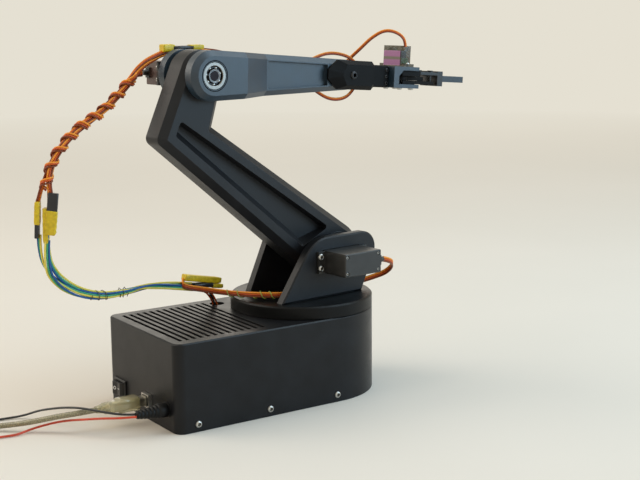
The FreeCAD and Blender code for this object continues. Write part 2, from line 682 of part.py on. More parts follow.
# Turntable disc, carried by the waist horn, with mortises for the two cheeks.
disc = Part.makeCylinder(BASE_R, DISC_T, V(0, 0, DISC_Z))
disc = disc.makeChamfer(DISC_BEVEL, [e for e in disc.Edges if e.BoundBox.ZMin > DISC_TOP - 0.01])
horn_t = 3.0
disc_cuts = [rod(HORN_R + 0.2, V(0, 0, DISC_Z - 1), V(0, 0, DISC_Z + horn_t))]
near_foot = (SHOULDER_X - 75.0, SHOULDER_X + 14.0)
far_foot = (SHOULDER_X - 69.0, SHOULDER_X + 8.0)
tenons = {}
for name, foot, side in (("near", near_foot, -1), ("far", far_foot, 1)):
    y0, y1 = sorted((side * CHEEK_INNER, side * CHEEK_OUTER))
    tenons[name] = box(foot[0] + 8, foot[1] - 8, y0 + 1, y1 - 1, DISC_TOP - TENON_DEPTH, DISC_TOP + 1)
    disc_cuts.append(box(foot[0] + 7.9, foot[1] - 7.9, y0 + 0.9, y1 - 0.9, DISC_TOP - TENON_DEPTH - 0.1,
                         DISC_TOP + 1))
save("turntable_disc", in_arm(disc.cut(disc_cuts)))
waist_horn = servo_shaft(waist_mount_z + 3.5, DISC_Z + horn_t, DISC_Z + HORN_GAP, DISC_Z + horn_t,
                         SERVO_SHAFT_R, HORN_R)
save("waist_horn", in_arm(waist_horn))

# Near cheek, wide enough for the shoulder servo's flange, and the narrower far cheek with its bearing.
sx, sz = SHOULDER.x, SHOULDER.z
near_nodes = [(near_foot[0], DISC_TOP, 0), (near_foot[1], DISC_TOP, 0),
              (sx + 15.0, sz + CHEEK_TOP - 15.0, 15.0),
              (sx - 23.6, sz + CHEEK_TOP - CHEEK_CORNER, CHEEK_CORNER)]
near_cheek = joined([bevelled(near_nodes, -CHEEK_OUTER, -CHEEK_INNER, CHEEK_BEVEL, 0), tenons["near"]])
shoulder_at = V(sx, -CHEEK_OUTER, sz)
near_cuts = [moved(c, [(AX, -90)], shoulder_at) for c in servo_window(CHEEK_T + 1)]
save("near_cheek", in_arm(near_cheek.cut(near_cuts)))
far_nodes = [(far_foot[0], DISC_TOP, 0), (far_foot[1], DISC_TOP, 0), (sx, sz, CHEEK_R),
             (sx - 35.0, sz + 5.0, 16.0)]
far_cheek = joined([bevelled(far_nodes, CHEEK_INNER, CHEEK_OUTER, 0, CHEEK_BEVEL), tenons["far"]])
bearing_y = CHEEK_OUTER - BEARING_W
far_cuts = [rod(BEARING_OD / 2, V(sx, bearing_y, sz), V(sx, CHEEK_OUTER + 1, sz)),
            rod(BEARING_OD / 2 - 2, V(sx, CHEEK_INNER - 1, sz), V(sx, bearing_y + 1, sz))]
save("far_cheek", in_arm(far_cheek.cut(far_cuts)))

# Shoulder servo outside the near cheek, its shaft pointing inwards, and its eight screws.
turn_in = [(AX, -90)]
save("shoulder_servo", in_arm(moved(standard_servo(), turn_in, shoulder_at)))
save("shoulder_servo_screws", in_arm(moved(servo_screws(CHEEK_T - 2), turn_in, shoulder_at)))
bearing_r = BEARING_BORE / 2
shoulder_bearing = rod(BEARING_OD / 2, V(sx, bearing_y, sz), V(sx, CHEEK_OUTER, sz))
shoulder_bearing = shoulder_bearing.cut(rod(bearing_r + SHAFT_FIT, V(sx, 0, sz), V(sx, 99, sz)))
save("shoulder_bearing", in_arm(shoulder_bearing))

# Upper arm: cranked beam between shoulder and elbow with bevelled edges and a deep pocket on each face.
ex, ez = ELBOW.x, ELBOW.z
arm_nodes = [(sx, sz, SHOULDER_R), (sx + BEND_IN_X, sz + BEND_IN_Z, 0), (ex, ez, ELBOW_R),
             (sx + BEND_OUT_X, sz + BEND_OUT_Z, BEND_R)]
upper_arm = bevelled(arm_nodes, -UPPER_Y, UPPER_Y, UPPER_BEVEL, UPPER_BEVEL)
hub_y = UPPER_Y + HUB_T
hub = rod(SHOULDER_R - UPPER_BEVEL - 2, V(sx, -hub_y, sz), V(sx, hub_y, sz))
arm_lines = edges_of(arm_nodes)


def inset_corner(i, j, rim_i, rim_j):
    """Where two of the arm's edges meet when they are drawn in by their own rims."""
    (px, pz), (dx, dz), n0 = arm_lines[i]
    (qx, qz), (fx, fz), n1 = arm_lines[j]
    px, pz, qx, qz = px - rim_i * n0[0], pz - rim_i * n0[1], qx - rim_j * n1[0], qz - rim_j * n1[1]
    t = ((qx - px) * fz - (qz - pz) * fx) / (dx * fz - dz * fx)
    return px + t * dx, pz + t * dz


def pocket_wire(slope, draft, corner, y):
    """Pocket outline: lower edge drawn in further by slope, the others by draft, with round corners."""
    rim = POCKET_RIM + draft
    out = inset_corner(2, 3, rim, POCKET_RIM + slope)
    top = inset_corner(0, 2, rim, rim)
    low_dir, up_dir = arm_lines[3][1], arm_lines[0][1]
    reach = hypot(BEND_IN_X, BEND_IN_Z)
    low_end = (out[0] + (reach - 12 - draft) * low_dir[0], out[1] + (reach - 12 - draft) * low_dir[1])
    up_end = (top[0] - (reach + 6 - draft) * up_dir[0], top[1] - (reach + 6 - draft) * up_dir[1])
    loop = [V(x, y, z) for x, z in (out, low_end, up_end, top)]
    face = Part.Face(Part.makePolygon(loop + loop[:1])).extrude(V(0, 1, 0))
    upright = [e for e in face.Edges if abs(e.tangentAt(e.FirstParameter).y) > 0.9]
    rounded = face.makeFillet(corner, upright)
    side = [f for f in rounded.Faces if f.BoundBox.YMax < y + 0.001]
    return side[0].OuterWire


pockets = []
for side in (-1, 1):
    mouth, floor = side * (UPPER_Y + 0.5), side * (UPPER_Y - POCKET_DEPTH)
    wires = [pocket_wire(0, 0, POCKET_CORNER, mouth),
             pocket_wire(POCKET_SLOPE, POCKET_DRAFT, POCKET_FLOOR_CORNER, floor)]
    pockets.append(Part.makeLoft(wires, True, True))
horn_sink = 1.4
arm_cuts = pockets + [
    rod(HORN_R + 0.1, V(ex, UPPER_Y - horn_sink, ez), V(ex, UPPER_Y + 1, ez)),
    rod(bearing_r, V(ex, -UPPER_Y - 1, ez), V(ex, -UPPER_Y + 7, ez)),
    rod(bearing_r, V(sx, hub_y - 9, sz), V(sx, hub_y + 1, sz))]
save("upper_arm", in_arm(joined([upper_arm, hub]).cut(arm_cuts)))
shoulder_horn = servo_shaft(3.5, CHEEK_OUTER - hub_y, SERVO_TOP + SERVO_BOSS_H + HORN_GAP,
                            CHEEK_OUTER - hub_y,
                            SERVO_SHAFT_R, HORN_R)
save("shoulder_horn", in_arm(moved(shoulder_horn, turn_in, shoulder_at)))
shoulder_axle = joined([rod(bearing_r, V(sx, hub_y - 8.5, sz), V(sx, CHEEK_OUTER - 0.3, sz)),
                        rod(bearing_r + 2, V(sx, hub_y, sz), V(sx, bearing_y - 0.3, sz))])
save("shoulder_axle", in_arm(shoulder_axle))
bearing_in = FORK_OUTER - 0.3 - BEARING_W
elbow_axle = joined([rod(bearing_r, V(ex, -UPPER_Y + 6.5, ez), V(ex, -FORK_OUTER + 0.6, ez)),
                     rod(bearing_r + 1.8, V(ex, -UPPER_Y, ez), V(ex, -bearing_in, ez))])
save("elbow_axle", in_arm(elbow_axle))
ring_in = rod(bearing_r + 1.9, V(ex, -bearing_in, ez), V(ex, -bearing_in - BEARING_W, ez))
save("elbow_bearing_inner", in_arm(ring_in.cut(rod(bearing_r, V(ex, 0, ez), V(ex, -60, ez)))))
elbow_at = V(0, FORK_OUTER, 0)
turn_out = [(AZ, 180), (AX, 90)]
horn_end = FORK_OUTER - UPPER_Y + horn_sink
elbow_horn = servo_shaft(3.5, horn_end, SERVO_TOP + SERVO_BOSS_H + HORN_GAP, horn_end, SERVO_SHAFT_R,
                         HORN_R)
save("elbow_horn", in_arm(moved(moved(elbow_horn, turn_out, elbow_at), [], ELBOW)))

# Places along the wrist axis, and the routes of the cables that go into the forearm and the wrist fork.
h = WRIST_H / 2
house_end = WRIST_FRONT + HOUSING_LEN
roll_face = house_end - HOUSING_WALL - MICRO_TOP
boss_end = roll_face + MICRO_TOP + MICRO_BOSS_H
b0 = boss_end + ROLL_GAP
bw, bh = BRACKET_W / 2, BRACKET_H / 2
gear_s = b0 + GEAR_S
servo_y = -GEAR_R
beside = FORK_OUTER + HARNESS_D / 2 + 0.4
over = ELBOW_R - 2.2
upper_route = [(60, beside - 22.4, over - 11.3), (46, beside - 9.4, over - 3.3),
               (30, beside - 1.1, over - 0.4),
               (12, beside + 0.1, over), (-6, beside, over - 0.2), (-20, beside - 0.3, over - 5.0),
               (-31.5, beside - 0.4, over - 11.0), (-48.3, beside - 0.4, -11.1),
               (-68.5, beside - 0.3, -28),
               (-90.7, beside - 0.2, -38.9), (-107.7, beside - 0.1, -54.3), (-118.6, beside + 0.2, -74.1),
               (-122.5, beside + 0.6, -91.8)]
upper_points = arm_points([(ex + x, y, ez + z) for x, y, z in upper_route])
loop_top = wrist_points([(-34, 0, h - 2.5), (-22, 0, h + 3.3), (-8, 0, h + 5.9), (5.5, 0, h + 4.7),
                         (15.5, 0, h + 1.5), (20, 0, h - 2.5)])
loop_low = wrist_points([(-31, 0, 1.3 - h), (-19.5, 0, -h - 5.3), (-6.5, 0, -h - 9.5), (7, 0, -h - 8.7),
                         (16, 0, -h - 3.6), (20, 0, 2.3 - h)])
exit_y = servo_y - MICRO_END - MICRO_EXIT / 2 - 0.1
arc_route = [(0, 0, 17.4), (-0.9, 0.1, 23.0), (-5.2, 0.5, 27.2), (-10.6, 1.3, 29.5), (-15.2, 2.6, 30.7),
             (-20, 4.5, 30.7), (-24, 6.9, 29.3), (-28.1, 10.1, 26), (-31.8, 13.7, 21.8),
             (-36.6, 18.7, 14.3), (-41.4, 23.7, 7.3), (-45.2, 27.1, 1.9)]
arc_points = wrist_points([(gear_s - MICRO_EXIT_Y + x, exit_y + y, bh + z) for x, y, z in arc_route])

# Forearm: fork round the elbow, faceted neck and tapering beam with a shallow pocket on each side.
fore_nodes = [(0, 0, ELBOW_R), (WRIST_REACH, 0, WRIST_R)]
slope = (ELBOW_R - WRIST_R) / WRIST_REACH


def half_height(x, inset):
    return (ELBOW_R - inset - x * slope) / sqrt(1 - slope ** 2)


def section(x, half):
    """Eight-sided cross-section of the neck."""
    full, low, k = half_height(x, 0), half_height(x, FORE_BEVEL), half - FORE_BEVEL
    loop = [(half, low), (k, full), (-k, full), (-half, low), (-half, -low), (-k, -full), (k, -full),
            (half, -low)]
    loop = [V(x, y, z) for y, z in loop]
    return Part.makePolygon(loop + loop[:1])


fork = bevelled(fore_nodes, -FORK_OUTER, FORK_OUTER, FORE_BEVEL, FORE_BEVEL)
fork = fork.common(box(-99, FORK_FLAT, -99, 99, -99, 99))
neck = Part.makeLoft([section(FORK_FLAT, FORK_OUTER), section(FORK_NECK, BEAM_Y)], True, True)
beam = bevelled(fore_nodes, -BEAM_Y, BEAM_Y, FORE_BEVEL, FORE_BEVEL)
beam = beam.common(box(FORK_NECK, 999, -99, 99, -99, 99))
servo_far = SERVO_FLANGE_L / 2 + SERVO_L / 2 - SERVO_END + 1.5
pad = box(FORK_FLAT - 4, servo_far, BEAM_Y, FORK_OUTER, -SERVO_W / 2, SERVO_W / 2)
forearm = joined([fork, neck, beam, pad])
fore_cuts = [box(-99, ELBOW_R + FORK_SLOT, -FORK_INNER, FORK_INNER, -99, 99)]
fore_cuts.append(rod(BEARING_OD / 2, V(0, -bearing_in, 0), V(0, -FORK_OUTER - 1, 0)))
fore_cuts.append(rod(BEARING_OD / 2 - 2, V(0, -FORK_INNER + 1, 0), V(0, -bearing_in - 1, 0)))
fore_cuts += [moved(c, turn_out, elbow_at) for c in servo_window(SERVO_TOP + 0.3)]
fore_cuts.append(rod(HORN_R + 1, V(0, FORK_INNER - 1, 0), V(0, FORK_OUTER - SERVO_TOP + 0.5, 0)))
pocket_x0, pocket_x1 = FORK_NECK + BEAM_EDGE, WRIST_REACH - 24
side_pocket = [(pocket_x0, -half_height(pocket_x0, BEAM_RIM)),
               (pocket_x1, -half_height(pocket_x1, BEAM_RIM)),
               (pocket_x1, half_height(pocket_x1, BEAM_RIM)),
               (pocket_x0, half_height(pocket_x0, BEAM_RIM))]
fore_cuts.append(xz_prism(side_pocket, -BEAM_Y - 1, -BEAM_Y + BEAM_POCKET))
fore_cuts.append(xz_prism(side_pocket, BEAM_Y - BEAM_POCKET, BEAM_Y + 1))
pitch_face = BEAM_Y - MICRO_TOP - MICRO_BOSS_H + 0.1
pitch_at = V(WRIST_REACH, pitch_face, 0)
mg = 0.2
micro_room = box(MICRO_END - MICRO_L - mg, MICRO_END + mg, -MICRO_W / 2 - mg, MICRO_W / 2 + mg,
                 -MICRO_FLANGE - MICRO_BODY - mg, 40)
micro_ears = box(MICRO_END - MICRO_L / 2 - MICRO_FLANGE_L / 2 - mg,
                 MICRO_END - MICRO_L / 2 + MICRO_FLANGE_L / 2 + mg,
                 -MICRO_W / 2 - mg, MICRO_W / 2 + mg, -MICRO_FLANGE, 40)
exit_room = box(MICRO_END - 1, MICRO_END + MICRO_EXIT + mg, MICRO_EXIT_Y - 2 - mg, MICRO_EXIT_Y + 2 + mg,
                -MICRO_FLANGE - MICRO_BODY - mg, 40)
fore_cuts += [moved(c, turn_in, pitch_at) for c in (micro_room, micro_ears, exit_room)]
pivot_r = 2.5
pivot_end = pitch_face - MICRO_FLANGE - MICRO_BODY - 2 * mg
fore_cuts.append(rod(pivot_r + SHAFT_FIT, V(WRIST_REACH, -BEAM_Y - 1, 0),
                     V(WRIST_REACH, pivot_end + 2, 0)))
forearm = in_forearm(forearm.cut(fore_cuts))
bores = [bore(loop_top, MICRO_CABLE_D), bore(loop_low, MICRO_CABLE_D), bore(upper_points, HARNESS_D)]
save("forearm", forearm.cut(bores))

# Open ball bearing in the near cheek of the fork: outer ring and the caged balls that stay with it.
race = bearing_r + 3.6
ring_out = rod(BEARING_OD / 2, V(0, -bearing_in, 0), V(0, -bearing_in - BEARING_W, 0))
ring_out = ring_out.cut(rod(race + 1.6, V(0, 0, 0), V(0, -60, 0)))
mid_y = -bearing_in - BEARING_W / 2
balls = []
for i in range(7):
    a = i * 2 * pi / 7
    balls.append(Part.makeSphere(1.4, V(race * cos(a), mid_y, race * sin(a)), AY))
cage = rod(race + 0.7, V(0, mid_y - 0.5, 0), V(0, mid_y + 0.5, 0))
cage = cage.cut(rod(race - 0.7, V(0, 0, 0), V(0, -60, 0)))
save("elbow_bearing", in_forearm(group([ring_out, joined([cage] + balls)])))

# Elbow servo outside the far cheek of the fork, cable end to the rear, and its screws.
save("elbow_servo", in_forearm(moved(standard_servo(), turn_out, elbow_at)))
save("elbow_servo_screws", in_forearm(moved(servo_screws(6.0), turn_out, elbow_at)))
save("wrist_pitch_servo", in_forearm(moved(micro_servo(), turn_in, pitch_at)))

# Wrist fork: two bevelled six-sided cheeks joined by a bridge in front of the forearm's round end.
cap_x, face_x = WRIST_FRONT - CAP_CORNER, WRIST_FRONT - CAP_BEVEL
face_h = h - CAP_BEVEL
cap_full = [(-WRIST_BACK, -4.0), (10.0 - WRIST_BACK, -h), (cap_x, -h), (WRIST_FRONT, CAP_CORNER - h),
            (WRIST_FRONT, h - CAP_CORNER), (cap_x, h), (10.0 - WRIST_BACK, h), (-WRIST_BACK, 4.0)]
cap_face = [(13.5 - WRIST_BACK, -1.0), (18.0 - WRIST_BACK, -face_h), (face_x - 2.0, -face_h),
            (face_x, 2.0 - face_h), (face_x, face_h - 2.0), (face_x - 2.0, face_h),
            (18.0 - WRIST_BACK, face_h), (13.5 - WRIST_BACK, 1.0)]
wrist_fork = [xz_prism(cap_full, -FORK_PLATE_Y, FORK_PLATE_Y)]
for side in (-1, 1):
    wrist_fork.append(Part.makeLoft([xz_wire(cap_full, side * FORK_PLATE_Y),
                                     xz_wire(cap_face, side * FORK_CAP_Y)], True, True))
pitch_horn_y = FORK_CHEEK_Y + MICRO_HORN_T
turn_front = [(AZ, -90), (AY, 90)]
roll_at = V(roll_face, 0, 0)
roll_back = -MICRO_FLANGE - MICRO_BODY - 2 * mg
roll_room = box(MICRO_END - MICRO_L - mg, MICRO_END + mg, -MICRO_W / 2 - mg, MICRO_W / 2 + mg, roll_back,
                MICRO_TOP)
roll_exit = box(MICRO_END - 1, MICRO_END + MICRO_EXIT + mg, MICRO_EXIT_Y - 2 - mg,
                MICRO_EXIT_Y + 2 + mg, roll_back, 0)
fork_cuts = [box(-99, WRIST_R + FORK_END_GAP, -FORK_CHEEK_Y, FORK_CHEEK_Y, -99, 99),
             rod(MICRO_HORN_R + 0.1, V(0, FORK_CHEEK_Y - 1, 0), V(0, pitch_horn_y, 0)),
             rod(pivot_r, V(0, -FORK_CAP_Y - 1, 0), V(0, -FORK_CHEEK_Y + 1, 0))]
fork_cuts += [moved(c, turn_front, roll_at) for c in (roll_room, roll_exit)]
wrist_fork = in_wrist(joined(wrist_fork).cut(fork_cuts))
bores = [bore(points, MICRO_CABLE_D) for points in (loop_top, loop_low, arc_points)]
save("wrist_fork", wrist_fork.cut(bores))
pivot = button_screw(FORK_CAP_Y + pivot_end, pivot_r, 3.6, 2.0)
save("wrist_pivot_screw", in_wrist(moved(pivot, [(AX, 90)], V(0, -FORK_CAP_Y, 0))))
pitch_horn = servo_shaft(1.5, pitch_horn_y - pitch_face, FORK_CHEEK_Y - pitch_face,
                         pitch_horn_y - pitch_face,
                         MICRO_SHAFT_R, MICRO_HORN_R)
save("wrist_pitch_horn", in_wrist(moved(pitch_horn, turn_in, V(0, pitch_face, 0))))

# Roll housing in front of the fork, holding the roll servo with its shaft along the wrist axis.
house_y1 = MICRO_FLANGE_L / 2 + MICRO_L / 2 - MICRO_END + 1.2
hh = HOUSING_H / 2
housing = box(WRIST_FRONT, house_end, -HOUSING_NEAR, house_y1, -hh, hh)
housing = housing.makeChamfer(1.2,
                              [e for e in housing.Edges if abs(e.tangentAt(e.FirstParameter).x) > 0.9])
roll_ears = box(MICRO_END - MICRO_L / 2 - MICRO_FLANGE_L / 2 - mg,
                MICRO_END - MICRO_L / 2 + MICRO_FLANGE_L / 2 + mg,
                -MICRO_W / 2 - mg, MICRO_W / 2 + mg, WRIST_FRONT - roll_face - 1, 0)
roll_cut = [moved(c, turn_front, roll_at) for c in (roll_room, roll_ears, roll_exit)]
roll_cut.append(rod(9.0, V(house_end - HOUSING_WALL - 1, 0, 0), V(house_end + 1, 0, 0)))
screw_s = house_end - 2.4
near_vs = (hh - 4.0, 0.0, 4.0 - hh)
for v in near_vs:
    roll_cut.append(rod(0.9, V(screw_s, -HOUSING_NEAR - 1, v), V(screw_s, -HOUSING_NEAR + 2.5, v)))
save("roll_housing", in_wrist(housing.cut(roll_cut)))
save("wrist_roll_servo", in_wrist(moved(micro_servo(), turn_front, roll_at)))
small = button_screw(2.0, 0.9, 1.7, 1.1)
save("housing_screws", in_wrist(group([moved(small, [(AX, 90)], V(screw_s, -HOUSING_NEAR, v))
                                       for v in near_vs])))

# Gripper bracket: channel of two plates and a rear wall that the roll horn turns.
b1 = b0 + BRACKET_LEN
bin_h = bh - BRACKET_PLATE
channel = [(b0, -bh), (b1, -bh), (b1, -bin_h), (b0 + BRACKET_WALL, -bin_h),
           (b0 + BRACKET_WALL, bin_h - GUSSET),
           (b0 + BRACKET_WALL + GUSSET, bin_h), (b1, bin_h), (b1, bh), (b0, bh)]
bracket = xz_prism(channel, -bw, bw)
corners = [e for e in bracket.Edges if abs(e.tangentAt(e.FirstParameter).z) > 0.9 and
           e.CenterOfMass.x > b1 - 0.1]
bracket = bracket.makeChamfer(BRACKET_CORNER, corners)
gear_sweep = rod(GEAR_R + 1.5, V(gear_s, -GEAR_R, -bin_h), V(gear_s, -GEAR_R, bin_h))
gear_sweep = gear_sweep.fuse(rod(GEAR_R + 1.5, V(gear_s, GEAR_R, -bin_h), V(gear_s, GEAR_R, bin_h)))
roll_horn_end = b0 + MICRO_HORN_T
grip_at = V(gear_s, servo_y, bh)
turn_down = [(AZ, 90), (AX, 180)]
link_s, link_y = gear_s + LINK_DS, GEAR_R + LINK_DY
window = box(MICRO_END - MICRO_L - mg, MICRO_END + mg, -MICRO_W / 2 - mg, MICRO_W / 2 + mg, -1,
             BRACKET_PLATE + 1)
bracket_cuts = [rod(MICRO_HORN_R + 0.1, V(b0 - 1, 0, 0), V(roll_horn_end, 0, 0)),
                gear_sweep,
                moved(window, turn_down, grip_at)]
for side in (-1, 1):
    bracket_cuts.append(rod(PIN_R, V(gear_s, side * GEAR_R, -bh - 1),
                            V(gear_s, side * GEAR_R, -bin_h + 1)))
    bracket_cuts.append(rod(PIN_R, V(link_s, side * link_y, -bh - 1),
                            V(link_s, side * link_y, -bin_h + 1)))
grip_holes = [moved(rod(0.9, V(x, 0, -1), V(x, 0, BRACKET_PLATE + 1)), turn_down, grip_at)
              for x in micro_holes()]
save("gripper_bracket", in_wrist(bracket.cut(bracket_cuts + grip_holes)))
roll_horn = servo_shaft(roll_face + 1.5, roll_horn_end, b0, roll_horn_end, MICRO_SHAFT_R, MICRO_HORN_R)
save("roll_horn", in_wrist(moved(roll_horn, [(AY, 90)], V(0, 0, 0))))

# Gripper servo upside down on the bracket's top plate, with its two screws.
save("gripper_servo", in_wrist(moved(micro_servo(), turn_down, grip_at)))
grip_screw = button_screw(MICRO_FLANGE + 2.6, 0.9, 1.9, 1.2)
screws = [moved(moved(grip_screw, [(AX, 180)], V(x, 0, -MICRO_FLANGE)), turn_down, grip_at)
          for x in micro_holes()]
save("gripper_servo_screws", in_wrist(group(screws)))

# Linkage layers between the plates: links below, toothed arms in the middle, finger tongues on top.
boss_low = bh - MICRO_TOP - MICRO_BOSS_H
gear_top = boss_low - LAYER_GAP
gear_low = gear_top - 3.5
link_top = gear_low - LAYER_GAP
link_low = -bin_h + LAYER_GAP
tongue_low = gear_top + LAYER_GAP + TONGUE_LIFT
tongue_top = bin_h - LAYER_GAP - 0.2
rest = radians(GRIP_REST)
reach_s, reach_y = GRIP_ARM * cos(rest), GRIP_ARM * sin(rest)

# Four pivot bolts with their heads under the lower plate; the far gear's bolt ends under the servo.
bolts = []
for y, top in ((GEAR_R, bh - MICRO_TOP - LAYER_GAP), (-GEAR_R, link_top)):
    bolts.append(moved(button_screw(top + bh, PIN_R, 2.7, 1.9), [(AX, 180)], V(gear_s, y, -bh)))
for side in (-1, 1):
    bolts.append(moved(button_screw(link_top + bh, PIN_R, 2.7, 1.9), [(AX, 180)],
                       V(link_s, side * link_y, -bh)))
save("gripper_bolts", in_wrist(group(bolts)))


def gear_points(phase, spread):
    """Outline of a toothed sector about the origin, its teeth centred on the angles phase + k pitches."""
    base = GEAR_R * cos(radians(20))
    tip_r, root_r = GEAR_R + 0.85, GEAR_R - 1.15
    half = pi / (2 * GEAR_TEETH) - GEAR_BACKLASH / (2 * GEAR_R)
    lift = tan(radians(20)) - radians(20)
    radii = [max(base, root_r) + (tip_r - max(base, root_r)) * i / 4 for i in range(5)]
    side = []
    for r in radii:
        a = sqrt(max((r / base) ** 2 - 1, 0))
        side.append((r, half + lift - (a - atan2(a, 1))))
    points = []
    for k in spread:
        mid = phase + k * 2 * pi / GEAR_TEETH
        points.append((root_r, mid - side[0][1] - 0.01))
        points += [(r, mid - a) for r, a in side]
        points += [(r, mid + a) for r, a in reversed(side)]
        points.append((root_r, mid + side[0][1] + 0.01))
    return [(r * cos(a), r * sin(a)) for r, a in points] + [(0, 0)]


def bar(a, b, r, z0, z1):
    """Flat bar with round ends between two points of the plan."""
    n = V(b[0] - a[0], b[1] - a[1], 0).normalize()
    n = V(-n.y, n.x, 0) * r
    a, b = V(a[0], a[1], z0), V(b[0], b[1], z0)
    loop = [a + n, a - n, b - n, b + n]
    flat = Part.Face(Part.makePolygon(loop + loop[:1])).extrude(V(0, 0, z1 - z0))
    return joined([flat, rod(r, a, V(a.x, a.y, z1)), rod(r, b, V(b.x, b.y, z1))])


pitch = 2 * pi / GEAR_TEETH
for name, side in (("near", -1), ("far", 1)):
    pivot_at = (gear_s, side * GEAR_R)
    pin_a = (gear_s + reach_s, side * (GEAR_R + reach_y))
    link_at = (link_s, side * link_y)
    pin_b = (link_s + reach_s, side * (link_y + reach_y))
    towards = -side * pi / 2
    phase = towards if side < 0 else towards + pitch / 2
    span = range(-2, 5) if side < 0 else range(-5, 2)
    sector = xy_prism(gear_points(phase, span), gear_low, gear_top)
    sector.translate(V(pivot_at[0], pivot_at[1], 0))
    hub_disc = rod(GEAR_HUB, V(pivot_at[0], pivot_at[1], gear_low), V(pivot_at[0], pivot_at[1], gear_top))
    toothed = joined([bar(pivot_at, pin_a, LINK_R, gear_low, gear_top), hub_disc, sector])
    toothed = toothed.cut(rod(PIN_R + PIN_FIT, V(pin_a[0], pin_a[1], gear_low - 1),
                              V(pin_a[0], pin_a[1], 99)))
    if side < 0:
        stub = rod(MICRO_SHAFT_R, V(gear_s, -GEAR_R, gear_top - 1), V(gear_s, -GEAR_R, bh - 1.6))
        toothed = joined([toothed, stub])
    else:
        toothed = toothed.cut(rod(PIN_R + PIN_FIT, V(gear_s, GEAR_R, -99), V(gear_s, GEAR_R, 99)))
    save("gear_arm_" + name, in_wrist(toothed))
    link = bar(link_at, pin_b, LINK_R, link_low, link_top)
    for x, y in (link_at, pin_b):
        link = link.cut(rod(PIN_R + PIN_FIT, V(x, y, -99), V(x, y, 99)))
    save("link_" + name, in_wrist(link))
    block_s = pin_b[0] + LINK_R + 2.0
    inner, outer = side * FINGER_REST, side * (link_y + reach_y + LINK_R)
    y0, y1 = sorted((inner, outer))
    block = box(block_s, block_s + FINGER_BLOCK, y0, y1, -FINGER_BLOCK_H / 2, FINGER_BLOCK_H / 2)
    t0, t1 = sorted((inner, inner + side * FINGER_BAR_T))
    finger_bar = box(block_s + FINGER_BLOCK - 1, block_s + FINGER_BLOCK + FINGER_BAR, t0, t1,
                     -FINGER_BAR_H / 2, FINGER_BAR_H / 2)
    tongue = bar(pin_a, pin_b, LINK_R, tongue_low, tongue_top)
    y0, y1 = sorted((pin_b[1] - LINK_R, pin_b[1] + LINK_R))
    stem = box(pin_b[0], block_s + 1, y0, y1, tongue_low, tongue_top)
    pins = [rod(PIN_R, V(pin_a[0], pin_a[1], gear_low), V(pin_a[0], pin_a[1], tongue_low + 1)),
            rod(PIN_R, V(pin_b[0], pin_b[1], link_low), V(pin_b[0], pin_b[1], tongue_low + 1)),
            rod(2.6, V(pin_b[0], pin_b[1], tongue_top - 1), V(pin_b[0], pin_b[1], tongue_top + 1.6))]
    save("finger_" + name, in_wrist(joined([tongue, stem, block, finger_bar] + pins)))

# Wire bundle from inside the forearm over the elbow, hanging behind the arm down to its connectors.
cable("harness_upper", upper_points, HARNESS_D)
drop = V(*upper_points[-1]) - AZ * 0.5
lower_start = drop - AZ * 31.8
block_a = box(-4.5, 7.5, -4.5, 4.5, -31, 0)
block_b = box(-8.5, -4.0, -4.0, 4.0, -31, -6)
save("harness_plugs", moved(joined([block_a, block_b]), [(AZ, WAIST_YAW)], drop))

# Extension ribbons from the connectors down behind the base and forward to the hole in its top.
hole_arm = moved(Part.Vertex(hole), [(AZ, -WAIST_YAW)], V(0, 0, 0)).Point
lower_route = [(-174, -16, 64), (-163.5, -13.5, 47), (-145.5, -11.5, 34), (-123.5, -9.8, 27),
               (-99.5, -7.8, 26.3),
               (-75.5, -6, 27.5), (-51.5, -4.3, 24.5), (-28.5, -3, 20.3)]
hole_points = [(hole_arm.x + x, hole_arm.y + y, hole_arm.z + z) for x, y, z in lower_route]
cable("harness_lower", [tuple(lower_start)] + arm_points(hole_points), RIBBON_D)
tail_route = [(-27.9, -3, 20.1), (-1.5, -0.5, 14.5), (0.6, 0, -12)]
tail_points = arm_points([(hole_arm.x + x, hole_arm.y + y, hole_arm.z + z) for x, y, z in tail_route])
cable("harness_tail", tail_points, TAIL_D)

# Shoulder servo's cable: out of its boot, round the cheek's front edge, between the cheeks,
# and back to the bundle.
boot_y = -CHEEK_OUTER - SERVO_FLANGE - SERVO_BODY + 4.8
boot_x = sx + SERVO_END + 6.0
lie = DISC_TOP + SERVO_CABLE_D / 2
slot_y = -(CHEEK_INNER + UPPER_Y) / 2
shoulder_route = [(boot_x, boot_y, sz), (boot_x + 10, boot_y + 1.5, sz - 2.5),
                  (boot_x + 20, boot_y + 8, sz - 8.5),
                  (boot_x + 21, boot_y + 18, sz - 17), (boot_x + 14, boot_y + 28, lie + 7.0),
                  (boot_x - 2, slot_y - 0.5, lie + 2.4), (boot_x - 26, slot_y, lie + 1.5),
                  (boot_x - 54, slot_y - 0.3, lie + 1.8), (-34, slot_y, lie + 3.0),
                  (-49, slot_y + 14, lie + 3.0),
                  (-57, 14, lie + 2.0), (-66, 32, lie + 2.3),
                  (hole_arm.x - 25, hole_arm.y - 10, BASE_HEIGHT + 18.5)]
cable("shoulder_cable", arm_points(shoulder_route), SERVO_CABLE_D)

# Thin servo cables at the wrist: a loop over and a loop under the pitch joint, and the gripper servo's arc.
cable("wrist_cable_top", loop_top, MICRO_CABLE_D)
cable("wrist_cable_low", loop_low, MICRO_CABLE_D)
cable("gripper_cable", arc_points, MICRO_CABLE_D)
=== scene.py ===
"""Looks of a desktop robot arm: black printed shells, hobby servos, a ball bearing and loose wiring."""
import json
from math import atan2, cos, pi, radians, sin

import bmesh
import bpy
from mathutils import Matrix, Vector


